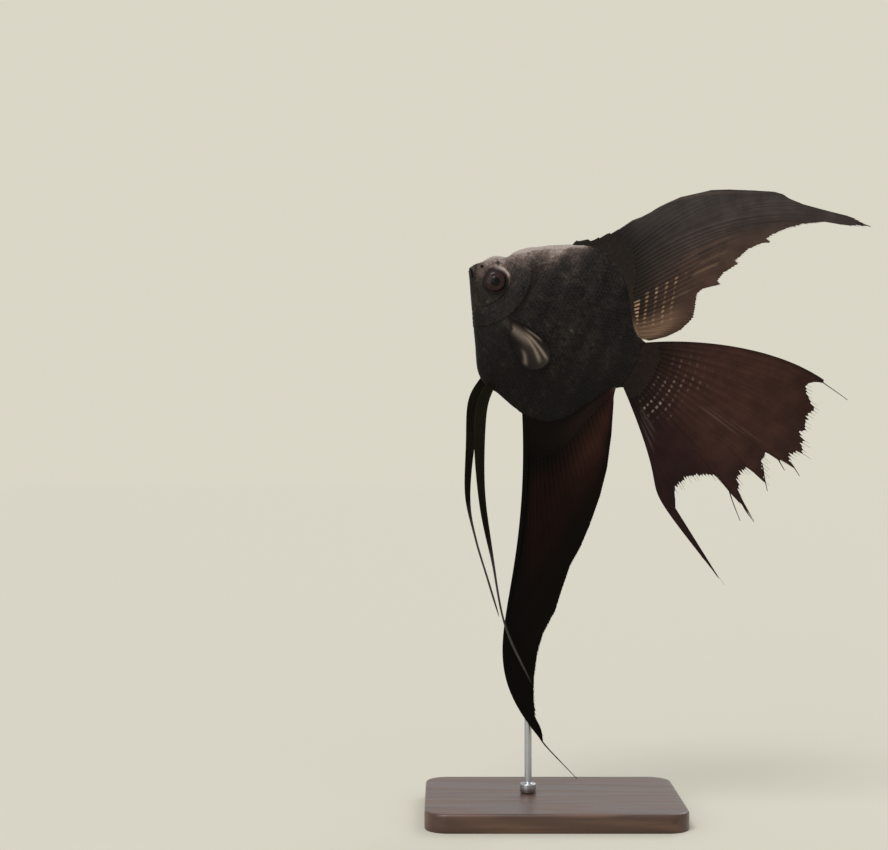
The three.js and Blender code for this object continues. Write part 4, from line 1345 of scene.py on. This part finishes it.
def make_base(material):
    """The walnut plate, with a small chamfer below and a rounded shoulder above."""
    length, depth, height, corner, bevel = BASE.values()
    shoulder = [
        (bevel * (1 - math.cos(a)), height - bevel + bevel * math.sin(a))
        for a in np.linspace(0, math.pi / 2, 9)
    ]
    profile = [(0.6, 0.0), (0.15, 0.2), (0.0, 0.6), (0.0, 3.0), *shoulder, (5, height), (16, height)]
    rings = []
    for inset, z in profile:
        flat = rounded_rectangle(length - 2 * inset, depth - 2 * inset, max(corner - inset, 1.5))
        rings.append(np.column_stack([flat, np.full(len(flat), z)]))
    made = mesh_object("base_plate", *ring_solid(rings, [[0, 0, 0], [0, 0, height]]))
    dress(made, material, ["stand_base"])


def make_rod(material):
    """The steel post, turned in one piece with the collar at its foot."""
    x, y, r, top, ring, ring_height, foot = ROD.values()
    shoulder = foot + ring_height
    turns = np.linspace(0, math.pi / 2, 8)
    bevel = [(ring - 0.6 + 0.6 * math.cos(a), shoulder - 0.6 + 0.6 * math.sin(a)) for a in turns]
    fillet = [(r + 0.7 * (1 - math.sin(a)), shoulder + 0.7 * (1 - math.cos(a))) for a in turns]
    collar = [(ring - 0.3, foot), (ring, foot + 0.3), (ring, foot + 2), *bevel, *fillet]
    radius, z = np.array([*collar, (r, 60), (r, 120), (r, top)]).T[..., None]
    angle = np.linspace(0, 2 * math.pi, 48, endpoint=False)
    rings = np.stack([x + radius * np.cos(angle), y + radius * np.sin(angle), z + 0 * angle], -1)
    made = mesh_object("stand_post", *ring_solid(rings, [[x, y, foot], [x, y, top]]))
    dress(made, material, ["stand_rod"])


# ---------------------------------------------------------------- stage, camera and light
FLOOR_HALF = 4000
PALE_FLOOR = rgb(196, 192, 178)
AMBIENT = 0.62
FLOOR_LIGHT = 1.28  # all the light that reaches the open floor
# Soft suns, as (name, where from, what they add to a white surface that faces them, spread in degrees)
SUNS = [
    ("key", (-0.35, -0.5, 1.2), 0.5, 30), ("fill", (-0.8, -1.0, 0.35), 0.2, 50),
    ("rim", (0.6, 0.9, 0.9), 0.22, 30),
]
CAMERA_AT = (-0.0477, -0.75, 0.1706)
LENS = 69.1


def make_stage():
    corners = FLOOR_HALF * np.array([[-1, -1, 0], [1, -1, 0], [1, 1, 0], [-1, 1, 0]])
    floor = mesh_object("floor", corners, [np.array([[0, 1, 2, 3]])])
    finish = Finish("floor", Base_Color=PALE_FLOOR, Roughness=0.9, Specular_IOR_Level=0.1)
    floor.data.materials.append(finish.material)


def make_world():
    """Even light all round, and the floor's own colour behind the model."""
    world = bpy.data.worlds.new("studio")
    bpy.context.scene.world = world
    world.use_nodes = True
    nodes = world.node_tree.nodes
    tree = Tree(world.node_tree)
    light = nodes["Background"]
    tree.put((1, 1, 1, 1), light.inputs["Color"])
    tree.put(AMBIENT, light.inputs["Strength"])
    seen = tree.node("ShaderNodeBackground", {"Color": PALE_FLOOR, "Strength": FLOOR_LIGHT})
    path = nodes.new("ShaderNodeLightPath").outputs
    rays = tree.math("MAXIMUM", path["Is Camera Ray"], path["Is Transmission Ray"])
    both = tree.node("ShaderNodeMixShader", {0: rays, 1: light.outputs[0], 2: seen})
    tree.put(both, nodes["World Output"].inputs[0])


def make_sun(name, direction, share, spread):
    data = bpy.data.lights.new(name, "SUN")
    data.energy = math.pi * share
    data.angle = math.radians(spread)
    lamp = bpy.data.objects.new(name, data)
    bpy.context.scene.collection.objects.link(lamp)
    lamp.rotation_euler = Vector(direction).to_track_quat("Z", "Y").to_euler()


def make_camera():
    data = bpy.data.cameras.new("camera")
    data.lens = LENS
    data.sensor_width = 36
    camera = bpy.data.objects.new("camera", data)
    bpy.context.scene.collection.objects.link(camera)
    camera.location = CAMERA_AT
    camera.rotation_euler = (math.radians(90), 0, 0)
    bpy.context.scene.camera = camera


make_camera()
make_stage()
make_world()
for sun in SUNS:
    make_sun(*sun)
bpy.context.scene.view_settings.view_transform = "Standard"

make_skin(skin_material())
make_scales(scale_material())
eye_finish = eye_material()
finishes = {word: fin_material(word, *look) for word, look in FIN_LOOKS.items()}
for word, fin, marks in (
    ("dorsal", DORSAL, dorsal_marks), ("caudal", CAUDAL, caudal_marks), ("anal", ANAL, anal_marks),
):
    make_median_fin(word, fin, marks, finishes[word])
for word, fin, marks in (
    ("dorsal", DORSAL, dorsal_marks), ("anal", ANAL, anal_marks), ("caudal", CAUDAL, caudal_marks),
):
    make_fin_scales(word, fin, marks, finishes[word])
for word, side in SIDES.items():
    make_eye(word, side, eye_finish)
    make_pectoral(word, side, finishes["pectoral"])
    make_pelvic(word, finishes["pelvic"])
make_base(wood_material())
make_rod(steel_material())
